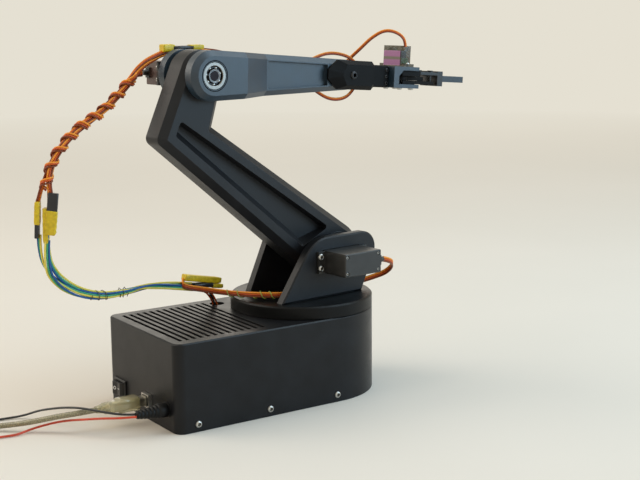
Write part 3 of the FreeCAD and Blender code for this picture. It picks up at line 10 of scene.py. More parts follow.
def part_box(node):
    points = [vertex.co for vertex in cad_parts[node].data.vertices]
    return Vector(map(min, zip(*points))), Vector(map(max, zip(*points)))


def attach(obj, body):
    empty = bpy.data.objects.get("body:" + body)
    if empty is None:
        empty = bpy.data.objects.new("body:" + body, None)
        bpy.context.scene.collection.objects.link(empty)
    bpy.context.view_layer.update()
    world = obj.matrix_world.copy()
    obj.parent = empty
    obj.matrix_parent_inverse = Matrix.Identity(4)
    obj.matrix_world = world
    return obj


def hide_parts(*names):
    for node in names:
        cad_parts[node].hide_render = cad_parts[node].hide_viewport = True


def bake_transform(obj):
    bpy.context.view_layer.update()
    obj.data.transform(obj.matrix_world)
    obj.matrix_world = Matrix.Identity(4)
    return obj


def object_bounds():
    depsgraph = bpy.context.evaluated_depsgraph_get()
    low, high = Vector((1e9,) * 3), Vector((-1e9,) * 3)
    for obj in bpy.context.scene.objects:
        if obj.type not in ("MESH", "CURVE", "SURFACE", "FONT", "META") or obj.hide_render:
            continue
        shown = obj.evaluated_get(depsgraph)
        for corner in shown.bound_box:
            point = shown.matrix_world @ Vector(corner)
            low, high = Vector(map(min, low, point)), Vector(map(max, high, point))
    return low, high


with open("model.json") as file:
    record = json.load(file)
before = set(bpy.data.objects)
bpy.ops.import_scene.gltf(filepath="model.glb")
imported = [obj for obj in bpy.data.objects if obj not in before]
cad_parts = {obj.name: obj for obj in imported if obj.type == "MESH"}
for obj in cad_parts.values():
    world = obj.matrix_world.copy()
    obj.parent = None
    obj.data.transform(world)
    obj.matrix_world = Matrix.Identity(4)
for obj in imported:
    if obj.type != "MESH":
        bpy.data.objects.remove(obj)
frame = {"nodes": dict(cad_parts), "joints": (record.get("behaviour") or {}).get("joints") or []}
cad_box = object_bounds()
nodes = frame["nodes"]
joints = {j["name"]: j for j in frame["joints"]}
scene = bpy.context.scene
MM = 0.001


# Base: a D-shaped box and its foot plate, printed in black plastic with a satin skin.
# The print layers stay just visible, and every corner is eased by the nozzle.
def new_finish(name):
    """A new material with its tree and its shader."""
    material = bpy.data.materials.new(name)
    material.use_nodes = True
    return material, material.node_tree, material.node_tree.nodes["Principled BSDF"]


def fill(tree, node, sockets):
    """Sets a node's inputs, or links those that are given an output."""
    for key, value in sockets.items():
        if isinstance(value, bpy.types.NodeSocket):
            tree.links.new(value, node.inputs[key])
        else:
            node.inputs[key].default_value = value


def add(tree, kind, sockets, **settings):
    """A new node with its settings and inputs."""
    node = tree.nodes.new(kind)
    for key, value in settings.items():
        setattr(node, key, value)
    fill(tree, node, sockets)
    return node


def place_on(tree):
    """The place on the piece that is being shaded."""
    return add(tree, "ShaderNodeTexCoord", {}).outputs["Object"]


def noise(tree, scale, detail=3.0):
    """Soft random pattern fixed to the piece."""
    node = add(tree, "ShaderNodeTexNoise", {"Vector": place_on(tree), "Scale": scale, "Detail": detail})
    return node.outputs["Fac"]


def tones(tree, factor, stops, steps=False):
    """Colours spread over a pattern; stops are (place, colour)."""
    node = add(tree, "ShaderNodeValToRGB", {"Fac": factor})
    node.color_ramp.interpolation = "CONSTANT" if steps else "LINEAR"
    while len(node.color_ramp.elements) < len(stops):
        node.color_ramp.elements.new(1.0)
    for element, (place, colour) in zip(node.color_ramp.elements, stops):
        element.position = place
        element.color = (*colour, 1.0)
    return node.outputs["Color"]


def between(tree, factor, low, high):
    """A pattern mapped to a range of values."""
    sockets = {"Value": factor, "From Min": 0.3, "From Max": 0.7, "To Min": low, "To Max": high}
    return add(tree, "ShaderNodeMapRange", sockets).outputs["Result"]


def bumped(tree, height, strength, depth, edge_radius=0.0):
    """Normals of a rough skin; its depth and the radius of its eased edges are in millimetres."""
    sockets = {"Height": height, "Strength": strength, "Distance": depth * MM}
    if edge_radius:
        edge = add(tree, "ShaderNodeBevel", {"Radius": edge_radius * MM}, samples=4)
        sockets["Normal"] = edge.outputs["Normal"]
    return add(tree, "ShaderNodeBump", sockets).outputs["Normal"]


def shaded(colour, amount):
    """A colour made darker or lighter."""
    return tuple(c * amount for c in colour)


def mottled(tree, factor, colour, dark, light):
    """A colour that wanders between two shades of itself."""
    return tones(tree, factor, [(0.3, shaded(colour, dark)), (0.7, shaded(colour, light))])


def printed_plastic(name, colour, layer_axis, low, high, shine):
    """Satin printed plastic with fine layers square to an axis."""
    material, tree, shader = new_finish(name)
    cloud = noise(tree, 60.0, 4.0)
    layers = add(tree, "ShaderNodeTexWave", {"Vector": place_on(tree), "Scale": 1250.0, "Distortion": 0.6},
                 bands_direction=layer_axis)
    rough = add(tree, "ShaderNodeMath", {0: layers.outputs["Fac"], 1: noise(tree, 2600.0)}, operation="ADD")
    fill(tree, shader, {
        "Base Color": tones(tree, cloud, [(0.25, shaded(colour, 0.8)), (0.75, shaded(colour, 1.25))]),
        "Roughness": between(tree, cloud, low, high), "Specular IOR Level": shine,
        "Normal": bumped(tree, rough.outputs[0], 0.10, 0.08, 0.5)})
    return material


def dress(material, *names):
    """Gives a finish to the CAD pieces of those names."""
    for name in names:
        mesh = nodes[name].data
        mesh.materials.clear()
        mesh.materials.append(material)


black_upright = printed_plastic("black_print_upright", (0.0072, 0.0074, 0.0085), "Z", 0.3, 0.4, shine=0.24)
dress(black_upright, "base_shell", "base_plate")


# Screws: button heads with a hexagon socket, bright zinc on steel, driven into the printed pieces.
# One head is drawn at a radius of one and set at each place where the frame has a screw.
WELD, TIGHT_WELD = 1e-6, 1e-8
RING_POINTS = 24


def bright_steel(name, colour, low, high):
    """Zinc or ground steel with fine scratches."""
    material, tree, shader = new_finish(name)
    scratch = noise(tree, 2200.0, 5.0)
    fill(tree, shader, {
        "Base Color": mottled(tree, noise(tree, 400.0), colour, 0.85, 1.0), "Metallic": 1.0,
        "Roughness": between(tree, scratch, low, high), "Normal": bumped(tree, scratch, 0.08, 0.05)})
    return material


def welded(name):
    """A working copy of a CAD piece's mesh, with its faces joined."""
    mesh = bmesh.new()
    mesh.from_mesh(nodes[name].data)
    bmesh.ops.remove_doubles(mesh, verts=mesh.verts, dist=WELD)
    return mesh


def plain(mesh, name):
    """The plain mesh of a working copy, which goes."""
    data = bpy.data.meshes.new(name)
    mesh.to_mesh(data)
    mesh.free()
    return data


def solids_of(name):
    """The corners of each separate solid of a CAD piece."""
    mesh = welded(name)
    found, solids = set(), []
    for first in mesh.verts:
        if first in found:
            continue
        found.add(first)
        reached = [first]
        for vert in reached:
            for edge in vert.link_edges:
                other = edge.other_vert(vert)
                if other not in found:
                    found.add(other)
                    reached.append(other)
        solids.append([v.co.copy() for v in reached])
    mesh.free()
    return solids


def ring_mesh(name, rings, closed_start=True, closed_end=True):
    """A skin over rings that all have the same number of points."""
    mesh = bmesh.new()
    rows = [[mesh.verts.new(p) for p in ring] for ring in rings]
    for low, high in zip(rows, rows[1:]):
        for i in range(len(low)):
            j = (i + 1) % len(low)
            mesh.faces.new((low[i], low[j], high[j], high[i]))
    if closed_start:
        mesh.faces.new(list(reversed(rows[0])))
    if closed_end:
        mesh.faces.new(rows[-1])
    bmesh.ops.remove_doubles(mesh, verts=mesh.verts, dist=TIGHT_WELD)
    bmesh.ops.recalc_face_normals(mesh, faces=mesh.faces)
    return plain(mesh, name)


def circle(radius, height, count=RING_POINTS):
    """A ring of points at a height."""
    angles = [2 * pi * i / count for i in range(count)]
    return [(radius * cos(a), radius * sin(a), height) for a in angles]


def hexagon(radius, height):
    """A hexagon of a given half width, with points along its sides."""
    points = []
    for i in range(RING_POINTS):
        a = 2 * pi * i / RING_POINTS
        flat = cos((a + pi / 6) % (pi / 3) - pi / 6)
        points.append((radius / flat * cos(a), radius / flat * sin(a), height))
    return points


def piece(name, data):
    """A new object in the scene."""
    made = bpy.data.objects.new(name, data)
    scene.collection.objects.link(made)
    return made


def skin(name, rings, finish, *closed):
    """A new piece in one finish, with a skin over rings."""
    made = piece(name, ring_mesh(name, rings, *closed))
    made.data.materials.append(finish)
    return made


def new_tree(name, inputs):
    """A Geometry Nodes tree with its named inputs; gives the tree, its start and its end."""
    tree = bpy.data.node_groups.new(name, "GeometryNodeTree")
    for label, kind in [("Geometry", "Geometry")] + inputs:
        tree.interface.new_socket(label, in_out="INPUT", socket_type="NodeSocket" + kind)
    tree.interface.new_socket("Geometry", in_out="OUTPUT", socket_type="NodeSocketGeometry")
    start = tree.nodes.new("NodeGroupInput")
    return tree, start.outputs, tree.nodes.new("NodeGroupOutput")


def grow(made, tree, **values):
    """Runs a tree on a piece with these inputs and keeps the plain mesh."""
    modifier = made.modifiers.new(tree.name, "NODES")
    modifier.node_group = tree
    for item in tree.interface.items_tree:
        key = item.name.lower().replace(" ", "_")
        if item.in_out == "INPUT" and key in values:
            modifier[item.identifier] = values[key]
    graph = bpy.context.evaluated_depsgraph_get()
    data = bpy.data.meshes.new_from_object(
        made.evaluated_get(graph), preserve_all_data_layers=True, depsgraph=graph)
    made.modifiers.clear()
    made.data = data
    return made


def step(tree, kind, sockets, **settings):
    """First output of a new geometry node."""
    return add(tree, "GeometryNode" + kind, sockets, **settings).outputs[0]


def end_tree(tree, last, given, end):
    """Ends a tree with real geometry in the finish that it is given."""
    whole = step(tree, "RealizeInstances", {"Geometry": last})
    done = step(tree, "SetMaterial", {"Geometry": whole, "Material": given["Finish"]})
    tree.links.new(done, end.inputs["Geometry"])
    return tree


def copy_setter():
    """Tree that stands a copy of a model on each point, along the point's aim and at its size."""
    tree, given, end = new_tree("set_copies", [("Model", "Object"), ("Finish", "Material")])
    aim = step(tree, "InputNamedAttribute", {"Name": "aim"}, data_type="FLOAT_VECTOR")
    size = step(tree, "InputNamedAttribute", {"Name": "size"}, data_type="FLOAT")
    turn = add(tree, "FunctionNodeAlignRotationToVector", {"Vector": aim}, axis="Z")
    model = add(tree, "GeometryNodeObjectInfo", {"Object": given["Model"]})
    points = step(tree, "MeshToPoints", {"Mesh": given["Geometry"]})
    placed = step(tree, "InstanceOnPoints", {
        "Points": points, "Instance": model.outputs["Geometry"], "Rotation": turn.outputs["Rotation"],
        "Scale": size})
    return end_tree(tree, placed, given, end)


zinc = bright_steel("bright_zinc", (0.55, 0.54, 0.51), 0.26, 0.42)
HEAD_HEIGHT = 0.62
screw_rings = [circle(0.5, -1.4), circle(0.5, 0.0), circle(1.0, 0.0), circle(1.0, 0.14), circle(0.93, 0.36),
               circle(0.78, 0.52), circle(0.62, HEAD_HEIGHT), hexagon(0.52, HEAD_HEIGHT),
               hexagon(0.48, 0.57), hexagon(0.46, -1.1)]
copy_tree = copy_setter()


def set_copies(name, model, places, aims, sizes, finish):
    """Copies of a model at each place, along its aim and at its size; the model itself goes."""
    data = bpy.data.meshes.new(name)
    data.from_pydata(places, [], [])
    data.attributes.new("aim", "FLOAT_VECTOR", "POINT").data.foreach_set("vector", aims)
    data.attributes.new("size", "FLOAT", "POINT").data.foreach_set("value", sizes)
    copies = grow(piece(name, data), copy_tree, model=model, finish=finish)
    bpy.data.objects.remove(model)
    return copies


def set_screws(name, body, aim, finish=zinc):
    """Socket screws in place of a CAD piece; aim gives the way a head faces from its middle."""
    model = piece("screw_model", ring_mesh("screw_model", screw_rings))
    places, aims, sizes = [], [], []
    for corners in solids_of(name):
        low = Vector([min(p[i] for p in corners) for i in range(3)])
        high = Vector([max(p[i] for p in corners) for i in range(3)])
        out = Vector(aim((low + high) / 2)).normalized()
        top = max(p.dot(out) for p in corners)
        radial = [p - out * p.dot(out) for p in corners]
        middle = sum(radial, Vector()) / len(radial)
        for _ in range(3):
            far = max(radial, key=lambda p: (p - middle).length)
            other = max(radial, key=lambda p: (p - far).length)
            middle = (far + other) / 2
        radius = (far - other).length / 2
        places.append(middle + out * (top - HEAD_HEIGHT * radius))
        aims += out[:]
        sizes.append(radius)
    heads = set_copies(name + "_heads", model, places, aims, sizes, finish)
    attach(heads, body)
    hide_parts(name)
    return heads


set_screws("base_side_screws", "base", lambda p: (0, p.y, 0))
set_screws("waist_servo_screws", "base", lambda p: (0, 0, 1))


# Inside the base: the waist servo, the control board and the two sockets at the rear end.
# They are bought parts: moulded black cases, a green lacquered board and a folded steel shell.
def moulded_plastic(name, colour, low=0.32, high=0.45, shine=0.5):
    """Moulded plastic with a fine spark-eroded grain."""
    material, tree, shader = new_finish(name)
    grain = noise(tree, 3000.0)
    fill(tree, shader, {
        "Base Color": mottled(tree, noise(tree, 120.0), colour, 0.8, 1.2),
        "Roughness": between(tree, grain, low, high), "Specular IOR Level": shine,
        "Normal": bumped(tree, grain, 0.15, 0.05, 0.3)})
    return material


servo_black = moulded_plastic("servo_black", (0.019, 0.018, 0.0165))
dress(servo_black, "waist_servo")
dress(moulded_plastic("board_green", (0.01, 0.09, 0.05), 0.15, 0.3), "controller_board")
dress(bright_steel("socket_steel", (0.62, 0.61, 0.58), 0.25, 0.4), "usb_socket")
socket_black = moulded_plastic("socket_black", (0.008, 0.008, 0.008))
dress(socket_black, "power_jack")


# Power switch: a framed rocker of glossy moulded plastic, clipped into the rear wall.
# Its on and off signs, a bar and a ring, are stamped on it in white.
dress(moulded_plastic("switch_gloss", (0.009, 0.009, 0.0095), 0.2, 0.34), "switch_body", "switch_rocker")
sign_white = moulded_plastic("sign_white", (0.72, 0.72, 0.7), 0.4, 0.55)
ROCKER_Y, ROCKER_Z, BEHIND, SIGN_LIFT = 39.0, 15.0, -200.0, 0.06
UP = Vector((0.0, 0.0, 1.0))


def stamped_sign(name, away, outlines, open_middle):
    """A thin flat sign on the rocker's face; outlines are rings of (across, up) in millimetres."""
    start = Vector((BEHIND, ROCKER_Y + away, ROCKER_Z)) * MM
    _, spot, out, _ = nodes["switch_rocker"].ray_cast(start, Vector((1.0, 0.0, 0.0)))
    across = UP.cross(out).normalized()
    upward = out.cross(across)
    rings = [[spot + (across * x + upward * y + out * lift) * MM for x, y in outline]
             for outline, lift in outlines]
    sign = skin(name, rings, sign_white, False, not open_middle)
    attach(sign, "rocker")


ring_out = [(x, y) for x, y, _ in circle(1.55, 0.0)]
ring_in = [(x, y) for x, y, _ in circle(0.95, 0.0)]
bar = [(-1.35, -0.32), (1.35, -0.32), (1.35, 0.32), (-1.35, 0.32)]
stamped_sign("off_sign", 1.7, [(ring_out, 0.0), (ring_out, SIGN_LIFT), (ring_in, SIGN_LIFT), (ring_in, 0.0)],
             True)
stamped_sign("on_sign", -3.6, [(bar, 0.0), (bar, SIGN_LIFT)], False)


# Data lead: a clear vinyl cable over a gold braid, with clear moulded plugs over crimped steel shells.
# It leaves the rear socket, runs down to the table and lies there in a loose curve.
def route_curve(name, points, radius):
    """A smooth round cord along a route, whose points are in millimetres."""
    data = bpy.data.curves.new(name, "CURVE")
    data.dimensions = "3D"
    spline = data.splines.new("NURBS")
    spline.points.add(len(points) - 1)
    for point, place in zip(spline.points, points):
        point.co = (*(Vector(place) * MM), 1.0)
    spline.order_u = 3
    spline.use_endpoint_u = True
    spline.resolution_u = 10
    data.bevel_depth = radius
    data.bevel_resolution = 5
    data.use_fill_caps = True
    return piece(name, data)


def clear_vinyl(name, colour):
    """Clear vinyl with a braid that shows through it."""
    material, tree, shader = new_finish(name)
    weave = add(tree, "ShaderNodeTexVoronoi", {"Vector": place_on(tree), "Scale": 1100.0}).outputs["Distance"]
    fill(tree, shader, {
        "Base Color": tones(tree, weave, [(0.1, colour), (0.6, shaded(colour, 0.45))]),
        "Roughness": between(tree, noise(tree, 500.0), 0.15, 0.35), "Coat Weight": 0.6,
        "Coat Roughness": 0.08, "Normal": bumped(tree, weave, 0.4, 0.1)})
    return material


def clear_plastic(name, dark, light, clouds, grains, rough, glass):
    """Clear moulded plastic; glass holds the shader's own values for what passes through it."""
    material, tree, shader = new_finish(name)
    fill(tree, shader, {
        "Base Color": tones(tree, noise(tree, clouds), [(0.3, dark), (0.7, light)]),
        "Roughness": between(tree, noise(tree, grains), *rough), **glass})
    return material


def soften(made):
    """Smooth shading on the sides of a piece, but not on its end caps."""
    for face in made.data.polygons:
        face.use_smooth = len(face.vertices) == 4


SLEEVE_POINTS, ROUNDNESS, END_EASE = 28, 0.35, 0.4


def flat_sleeve(name, middle, along, across, rows, wide, deep, finish, crumple=0.0,
                slot="connector_yellow"):
    """A flat tube with soft corners; rows are (place along it in millimetres, share of its size)."""
    along = Vector(along).normalized()
    across = (Vector(across) - along * Vector(across).dot(along)).normalized()
    thick = along.cross(across)
    rings = []
    for row, (place, share) in enumerate(rows):
        ring = []
        for i in range(SLEEVE_POINTS):
            a = 2 * pi * i / SLEEVE_POINTS
            x = abs(cos(a)) ** ROUNDNESS * (1 if cos(a) > 0 else -1) * wide / 2 * share
            y = abs(sin(a)) ** ROUNDNESS * (1 if sin(a) > 0 else -1) * deep / 2 * share
            dent = crumple * sin(3.0 * a + 2.1 * row) * sin(1.7 * row + 0.6)
            ring.append((Vector(middle) + along * place + across * (x + dent) + thick * (y - dent)) * MM)
        rings.append(ring)
    made = skin(name, rings, finish)
    soften(made)
    return made


def block_rows(start, end):
    """Rows of a moulded housing with eased ends."""
    ease = END_EASE if end > start else -END_EASE
    return [(start, 0.9), (start + ease, 1.0), (end - ease, 1.0), (end, 0.9)]


gold_braid = clear_vinyl("clear_vinyl_over_braid", (0.42, 0.36, 0.2))
clear_gold = clear_plastic(
    "clear_gold_plug", (0.72, 0.65, 0.36), (0.88, 0.82, 0.54), 90.0, 700.0, (0.1, 0.24),
    {"Transmission Weight": 0.74, "IOR": 1.4, "Coat Weight": 1.0, "Coat Roughness": 0.1})
crimp = bright_steel("crimp_shell", (0.5, 0.47, 0.38), 0.3, 0.45)
GRIP_START, NOSE_END, MOUTH_AT, PLUG_AXIS = -167.5, -152.0, -160.3, (-12.0, 17.05)
SHELL_SHARE = 0.62
GRIP_ROWS = [(0, 0.93), (0.8, 1.0), (16.8, 1.0), (17.8, 0.94), (18.4, 0.76), (19.4, 0.74), (29.6, 0.72),
             (30.6, 0.6), (32.4, 0.52), (36.5, 0.42)]
usb_pieces = []
for name, start, rows, wide, deep, finish, slot in (
        ("usb_plug_grip", GRIP_START, GRIP_ROWS, 12.4, 11.3, clear_gold, "clear_plastic"),
        ("usb_plug_nose", NOSE_END, block_rows(0.0, 38.0), 8.4, 7.8, crimp, "steel")):
    made = flat_sleeve(name, (start, *PLUG_AXIS), (-1, 0, 0), (0, 1, 0), rows, wide, deep, finish, slot=slot)
    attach(made, "base")
    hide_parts("usb_plug")
    usb_pieces.append(made)
mouth = flat_sleeve("usb_socket_mouth", (MOUTH_AT, *PLUG_AXIS), (-1, 0, 0), (0, 1, 0), block_rows(0.0, 0.6),
                    10.2, 9.2, socket_black, slot="switch_plastic")
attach(mouth, "base")
dress(clear_gold, "usb_far_plug")
shell = welded("usb_far_plug")
low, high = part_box("usb_far_plug")
middle = (Vector(low) + Vector(high)) / 2
for vert in shell.verts:
    vert.co = middle + (vert.co - middle) * SHELL_SHARE
far_shell = piece("usb_far_plug_shell", plain(shell, "usb_far_plug_shell"))
far_shell.data.materials.append(crimp)
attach(far_shell, "base")
usb_pieces += [nodes["usb_far_plug"], far_shell]
USB_ROUTE = [(-204, -12, 17.05), (-216, -10.5, 16.45), (-231, -1, 14.05), (-249, 15, 8.05), (-265, 31, 4.25),
             (-284, 43, 2.35), (-307, 40, 2.45), (-322, 23, 2.55), (-327, 1, 3.25), (-328, -18, 4.0)]
USB_WIDTH = 4.5 * MM
usb_lead = route_curve("usb_lead", USB_ROUTE, USB_WIDTH / 2)
usb_lead.data.materials.append(gold_braid)
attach(usb_lead, "base")
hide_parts("usb_cable")


# Supply leads: two thin vinyl wires, black and red, out of the moulded power plug.
# They cross the table; their bare tinned ends are not drawn.
def vinyl(name, colour):
    """Soft vinyl wire cover."""
    material, tree, shader = new_finish(name)
    cloud = noise(tree, 350.0)
    fill(tree, shader, {
        "Base Color": mottled(tree, cloud, colour, 0.8, 1.15), "Roughness": between(tree, cloud, 0.32, 0.5),
        "Normal": bumped(tree, noise(tree, 2500.0), 0.1, 0.05)})
    return material


plug_rubber = moulded_plastic("plug_rubber", (0.004, 0.004, 0.0042), 0.4, 0.55, shine=0.25)
WALL_SIDE, GRIP_Y, GRIP_Z = -157.7, -43.8, 17.1
RIDGES, RIDGE_START, RIDGE_STEP, RIDGE_RADIUS, RIDGE_TAPER = 6, 8.6, 3.0, 5.5, 0.46
grip_profile = [(0.0, 5.4), (0.5, 5.9), (7.6, 5.9), (8.2, 5.4)]
for i in range(RIDGES):
    place, radius = RIDGE_START + RIDGE_STEP * i, RIDGE_RADIUS - RIDGE_TAPER * i
    grip_profile += [(place, radius - 0.75), (place + 0.5, radius), (place + 2.1, radius - 0.15),
                     (place + 2.5, radius - 0.9)]
grip_profile += [(26.5, 2.3)]
grip_rings = [
    [Vector((WALL_SIDE - place, GRIP_Y + x, GRIP_Z + y)) * MM for x, y, _ in circle(radius, 0.0, 32)]
    for place, radius in grip_profile]
power_grip = skin("power_plug_grip", grip_rings, plug_rubber)
soften(power_grip)
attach(power_grip, "base")
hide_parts("power_plug")
BLACK_ROUTE = [(-184.3, -42.4, 17.7), (-194.3, -40.3, 18.6), (-206, -27, 20), (-215.5, -11.5, 20.8),
               (-222.5, 6, 18), (-228, 22, 13.7), (-232.5, 37, 8.9), (-236.5, 48, 4), (-243.5, 54.5, 1.3),
               (-254, 57, 1.0), (-267, 57.7, 1.1), (-281.5, 59.7, 1.0), (-296.5, 63.7, 1.1),
               (-310.3, 70.7, 1.0)]
RED_ROUTE = [(-184.3, -45.2, 16.5), (-195, -42, 16.5), (-207, -30, 15.5), (-217, -17, 13),
             (-224.5, -4.3, 10.3), (-232, 4.5, 7.6), (-242, 12.5, 4), (-250.5, 14.8, 1.9),
             (-259.5, 12.4, 1.0), (-269, 13.8, 1.1), (-280, 15.7, 1.0), (-292, 12.2, 1.1), (-303, 4.2, 1.0)]
LEAD_WIDTH = 1.8 * MM
for colour_name, colour, route, length, on_it in (
        ("black", (0.012, 0.012, 0.012), BLACK_ROUTE, 0.190, [power_grip]),
        ("red", (0.6, 0.055, 0.018), RED_ROUTE, 0.149, [])):
    lead = route_curve("power_wire_" + colour_name, route, LEAD_WIDTH / 2)
    lead.data.materials.append(vinyl("vinyl_" + colour_name, colour))
    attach(lead, "base")
    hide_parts("power_lead_" + colour_name)


# Turntable: a printed disc on the waist servo's horn, and two cheeks that stand on it.
# The cheeks are printed lying down, so their layers run square to the shoulder pin.
# The disc's print is darker than the base's: painted shade, for the shadow that the arm and cheeks cast on
# it.
dress(printed_plastic("black_print_disc", (0.004, 0.004, 0.004), "Z", 0.3, 0.4, shine=0.16), "turntable_disc")
horn_metal = bright_steel("horn_metal", (0.5, 0.5, 0.51), 0.3, 0.45)
dress(horn_metal, "waist_horn")
black_flat = printed_plastic("black_print_flat", (0.0085, 0.009, 0.0105), "Y", 0.38, 0.46, shine=0.28)
dress(black_flat, "near_cheek", "far_cheek")


# Shoulder: a standard servo outside the near cheek, held by eight screws through its flanges and case.
# A ground ball bearing in the far cheek carries the other end of the shoulder pin.
dress(servo_black, "shoulder_servo")
arm_side = Vector(joints["shoulder"]["axis"])
set_screws("shoulder_servo_screws", "turntable", lambda p: -arm_side)
ground_steel = bright_steel("ground_steel", (0.46, 0.47, 0.46), 0.2, 0.32)
dress(ground_steel, "shoulder_bearing", "shoulder_axle")
dress(horn_metal, "shoulder_horn")


# Upper arm: a cranked lever with pockets in its sides, printed lying down in one piece.
# It sits on the shoulder horn at its foot and carries the dark steel elbow axle at its head.
dress(black_flat, "upper_arm")
dark_oxide = bright_steel("dark_oxide", (0.021, 0.018, 0.019), 0.36, 0.5)
dress(dark_oxide, "elbow_axle")


# Elbow: an open ball bearing in the near cheek of the fork, and a standard servo in the far one.
# The bearing's rings are ground steel round a dark cage; the servo has a brown case and a black boot.
MIX_FROM, MIX_TO, MIXED = 6, 7, 2


def calc(tree, operation, *values):
    """Result of a sum on numbers."""
    return add(tree, "ShaderNodeMath", dict(enumerate(values)), operation=operation).outputs[0]


def vector_calc(tree, operation, *values):
    """Result of a sum on vectors."""
    node = add(tree, "ShaderNodeVectorMath", dict(enumerate(values)), operation=operation)
    return node.outputs["Value" if operation in ("DOT_PRODUCT", "LENGTH") else "Vector"]


def reach_along(tree, start, way):
    """How far a place on the piece lies from a start along a way."""
    return vector_calc(tree, "DOT_PRODUCT", vector_calc(tree, "SUBTRACT", place_on(tree), start), way)


def recolour(material, start, way, limit, colour):
    """Gives the part of a finish that lies short of a limit along a way another colour."""
    tree = material.node_tree
    base = tree.nodes["Principled BSDF"].inputs["Base Color"]
    short = calc(tree, "LESS_THAN", reach_along(tree, start, way), limit)
    mix = add(tree, "ShaderNodeMix", {"Factor": short}, data_type="RGBA")
    fill(tree, mix, {MIX_FROM: base.links[0].from_socket, MIX_TO: (*colour, 1.0)})
    tree.links.new(mix.outputs[MIXED], base)


elbow_at = Vector(joints["elbow"]["pos_m"])
forearm_ahead = arm_side.cross(UP)
FORK_HALF = 27.2 * MM
bearing_face = elbow_at - arm_side * FORK_HALF
pale_ring = bright_steel("bearing_ring", (0.29, 0.28, 0.26), 0.32, 0.44)
# The inner ring is given a darker steel than the outer ring.
darker_inner_steel = bright_steel("bearing_inner_ring", (0.2, 0.2, 0.2), 0.28, 0.42)
cage_dark = bright_steel("bearing_cage", (0.04, 0.04, 0.042), 0.3, 0.45)
# The very dark, matte ring round the outer ring is painted shadow: it stands for the shadowed gap where the
# bearing sits in the fork.
painted_shadow_black = printed_plastic("bearing_seat_black", (0.0015, 0.0015, 0.0015), "Y", 0.6, 0.7, shine=0.04)
for name, finish, body, node, profile in (
        ("bearing_outer", pale_ring, "forearm", "elbow_bearing",
         [(11.0, 0.6), (10.5, 0.1), (8.3, 0.1), (7.9, 0.4), (7.9, 7.0), (11.0, 7.0)]),
        ("bearing_seat", painted_shadow_black, "forearm", "elbow_bearing",
         [(12.3, -0.35), (12.1, -0.4), (11.05, -0.2), (10.95, 0.6), (12.3, 0.6)]),
        ("bearing_cage", cage_dark, "forearm", "elbow_bearing",
         [(7.5, 2.4), (7.2, 2.0), (6.1, 2.0), (5.9, 2.4), (5.9, 4.6), (7.5, 4.6)]),
        ("bearing_inner", darker_inner_steel, "upper_arm", "elbow_bearing_inner",
         [(5.5, 0.5), (5.3, 0.1), (4.9, 0.1), (4.4, 0.5), (4.0, 0.5), (4.0, 7.0), (5.5, 7.0)])):
    rings = [
        [bearing_face + (forearm_ahead * x + UP * y + arm_side * depth) * MM
         for x, y, _ in circle(radius, 0.0, 48)] for radius, depth in profile + profile[:1]]
    made = skin(name, rings, finish, False, False)
    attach(made, body)
    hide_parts(node)
ball = bmesh.new()
bmesh.ops.create_icosphere(ball, subdivisions=3, radius=1.0)
ball_model = piece("ball_model", plain(ball, "ball_model"))
BALLS, BALL_R, RACE_R, BALL_DEPTH, BALL_START = 7, 1.55 * MM, 6.7 * MM, 3.0 * MM, 0.3
ball_spots = []
for i in range(BALLS):
    a = 2 * pi * (i + BALL_START) / BALLS
    ball_spots.append(bearing_face + arm_side * BALL_DEPTH + (forearm_ahead * cos(a) + UP * sin(a)) * RACE_R)
balls = set_copies("bearing_balls", ball_model, ball_spots, list(arm_side) * BALLS, [BALL_R] * BALLS,
                   ground_steel)
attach(balls, "forearm")
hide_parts("elbow_bearing")
dress(horn_metal, "elbow_horn")
elbow_case = moulded_plastic("servo_brown", (0.075, 0.045, 0.038))
CASE_END = -11.6 * MM
recolour(elbow_case, elbow_at, forearm_ahead, CASE_END, (0.01, 0.01, 0.01))
dress(elbow_case, "elbow_servo")
set_screws("elbow_servo_screws", "forearm", lambda p: arm_side)


# Forearm: a printed beam with a fork at the elbow and long pockets in its sides.
# The pitch servo sits inside its hollow front end.
# The forearm's black print is tinted blue: this is a painted reflection of the cool light on its satin faces.
black_painted_sheen = printed_plastic("black_print_slate", (0.016, 0.031, 0.047), "Y", 0.36, 0.44, shine=0.62)
dress(black_painted_sheen, "forearm")
dress(servo_black, "wrist_pitch_servo")


# Wrist: a printed fork on the pitch servo's horn, and the housing of the roll servo in its bridge.
# These are finer prints with a duller skin, held by small blued screws.
DULL_BLACK = (0.004, 0.0038, 0.0038)
black_dull = printed_plastic("black_print_dull", DULL_BLACK, "Y", 0.46, 0.58, shine=0.1)
dress(black_dull, "wrist_fork", "roll_housing")
dress(servo_black, "wrist_roll_servo")
dress(horn_metal, "wrist_pitch_horn", "roll_horn")
blued_steel = bright_steel("blued_steel", (0.06, 0.062, 0.066), 0.36, 0.5)
set_screws("housing_screws", "wrist", lambda p: -arm_side, blued_steel)
set_screws("wrist_pivot_screw", "wrist", lambda p: -arm_side, blued_steel)


# Gripper: a printed bracket that carries two toothed arms, two links and two fingers on steel pins.
# The small bolts under it are the pins' heads.
# The bracket shares the forearm's black print, with its painted blue reflection.
dress(black_painted_sheen, "gripper_bracket")
dress(black_dull, "gear_arm_near", "gear_arm_far", "link_near", "link_far")
wrist_at = Vector(joints["wrist_pitch"]["pos_m"])
wrist_ahead = Vector(joints["wrist_roll"]["axis"])
PAD_START = 118.5 * MM
# Past the start of the pads, the fingers' black print carries the same painted blue reflection; the part
# short of the pads takes the dull black.
finger_print = printed_plastic("black_print_finger", (0.014, 0.023, 0.032), "Z", 0.36, 0.44, shine=0.5)
recolour(finger_print, wrist_at, wrist_ahead, PAD_START, DULL_BLACK)
dress(finger_print, "finger_near", "finger_far")
wrist_up = Vector(joints["gear_far_turn"]["axis"])
set_screws("gripper_servo_screws", "gripper_head", lambda p: wrist_up)
set_screws("gripper_bolts", "gripper_head", lambda p: -wrist_up)


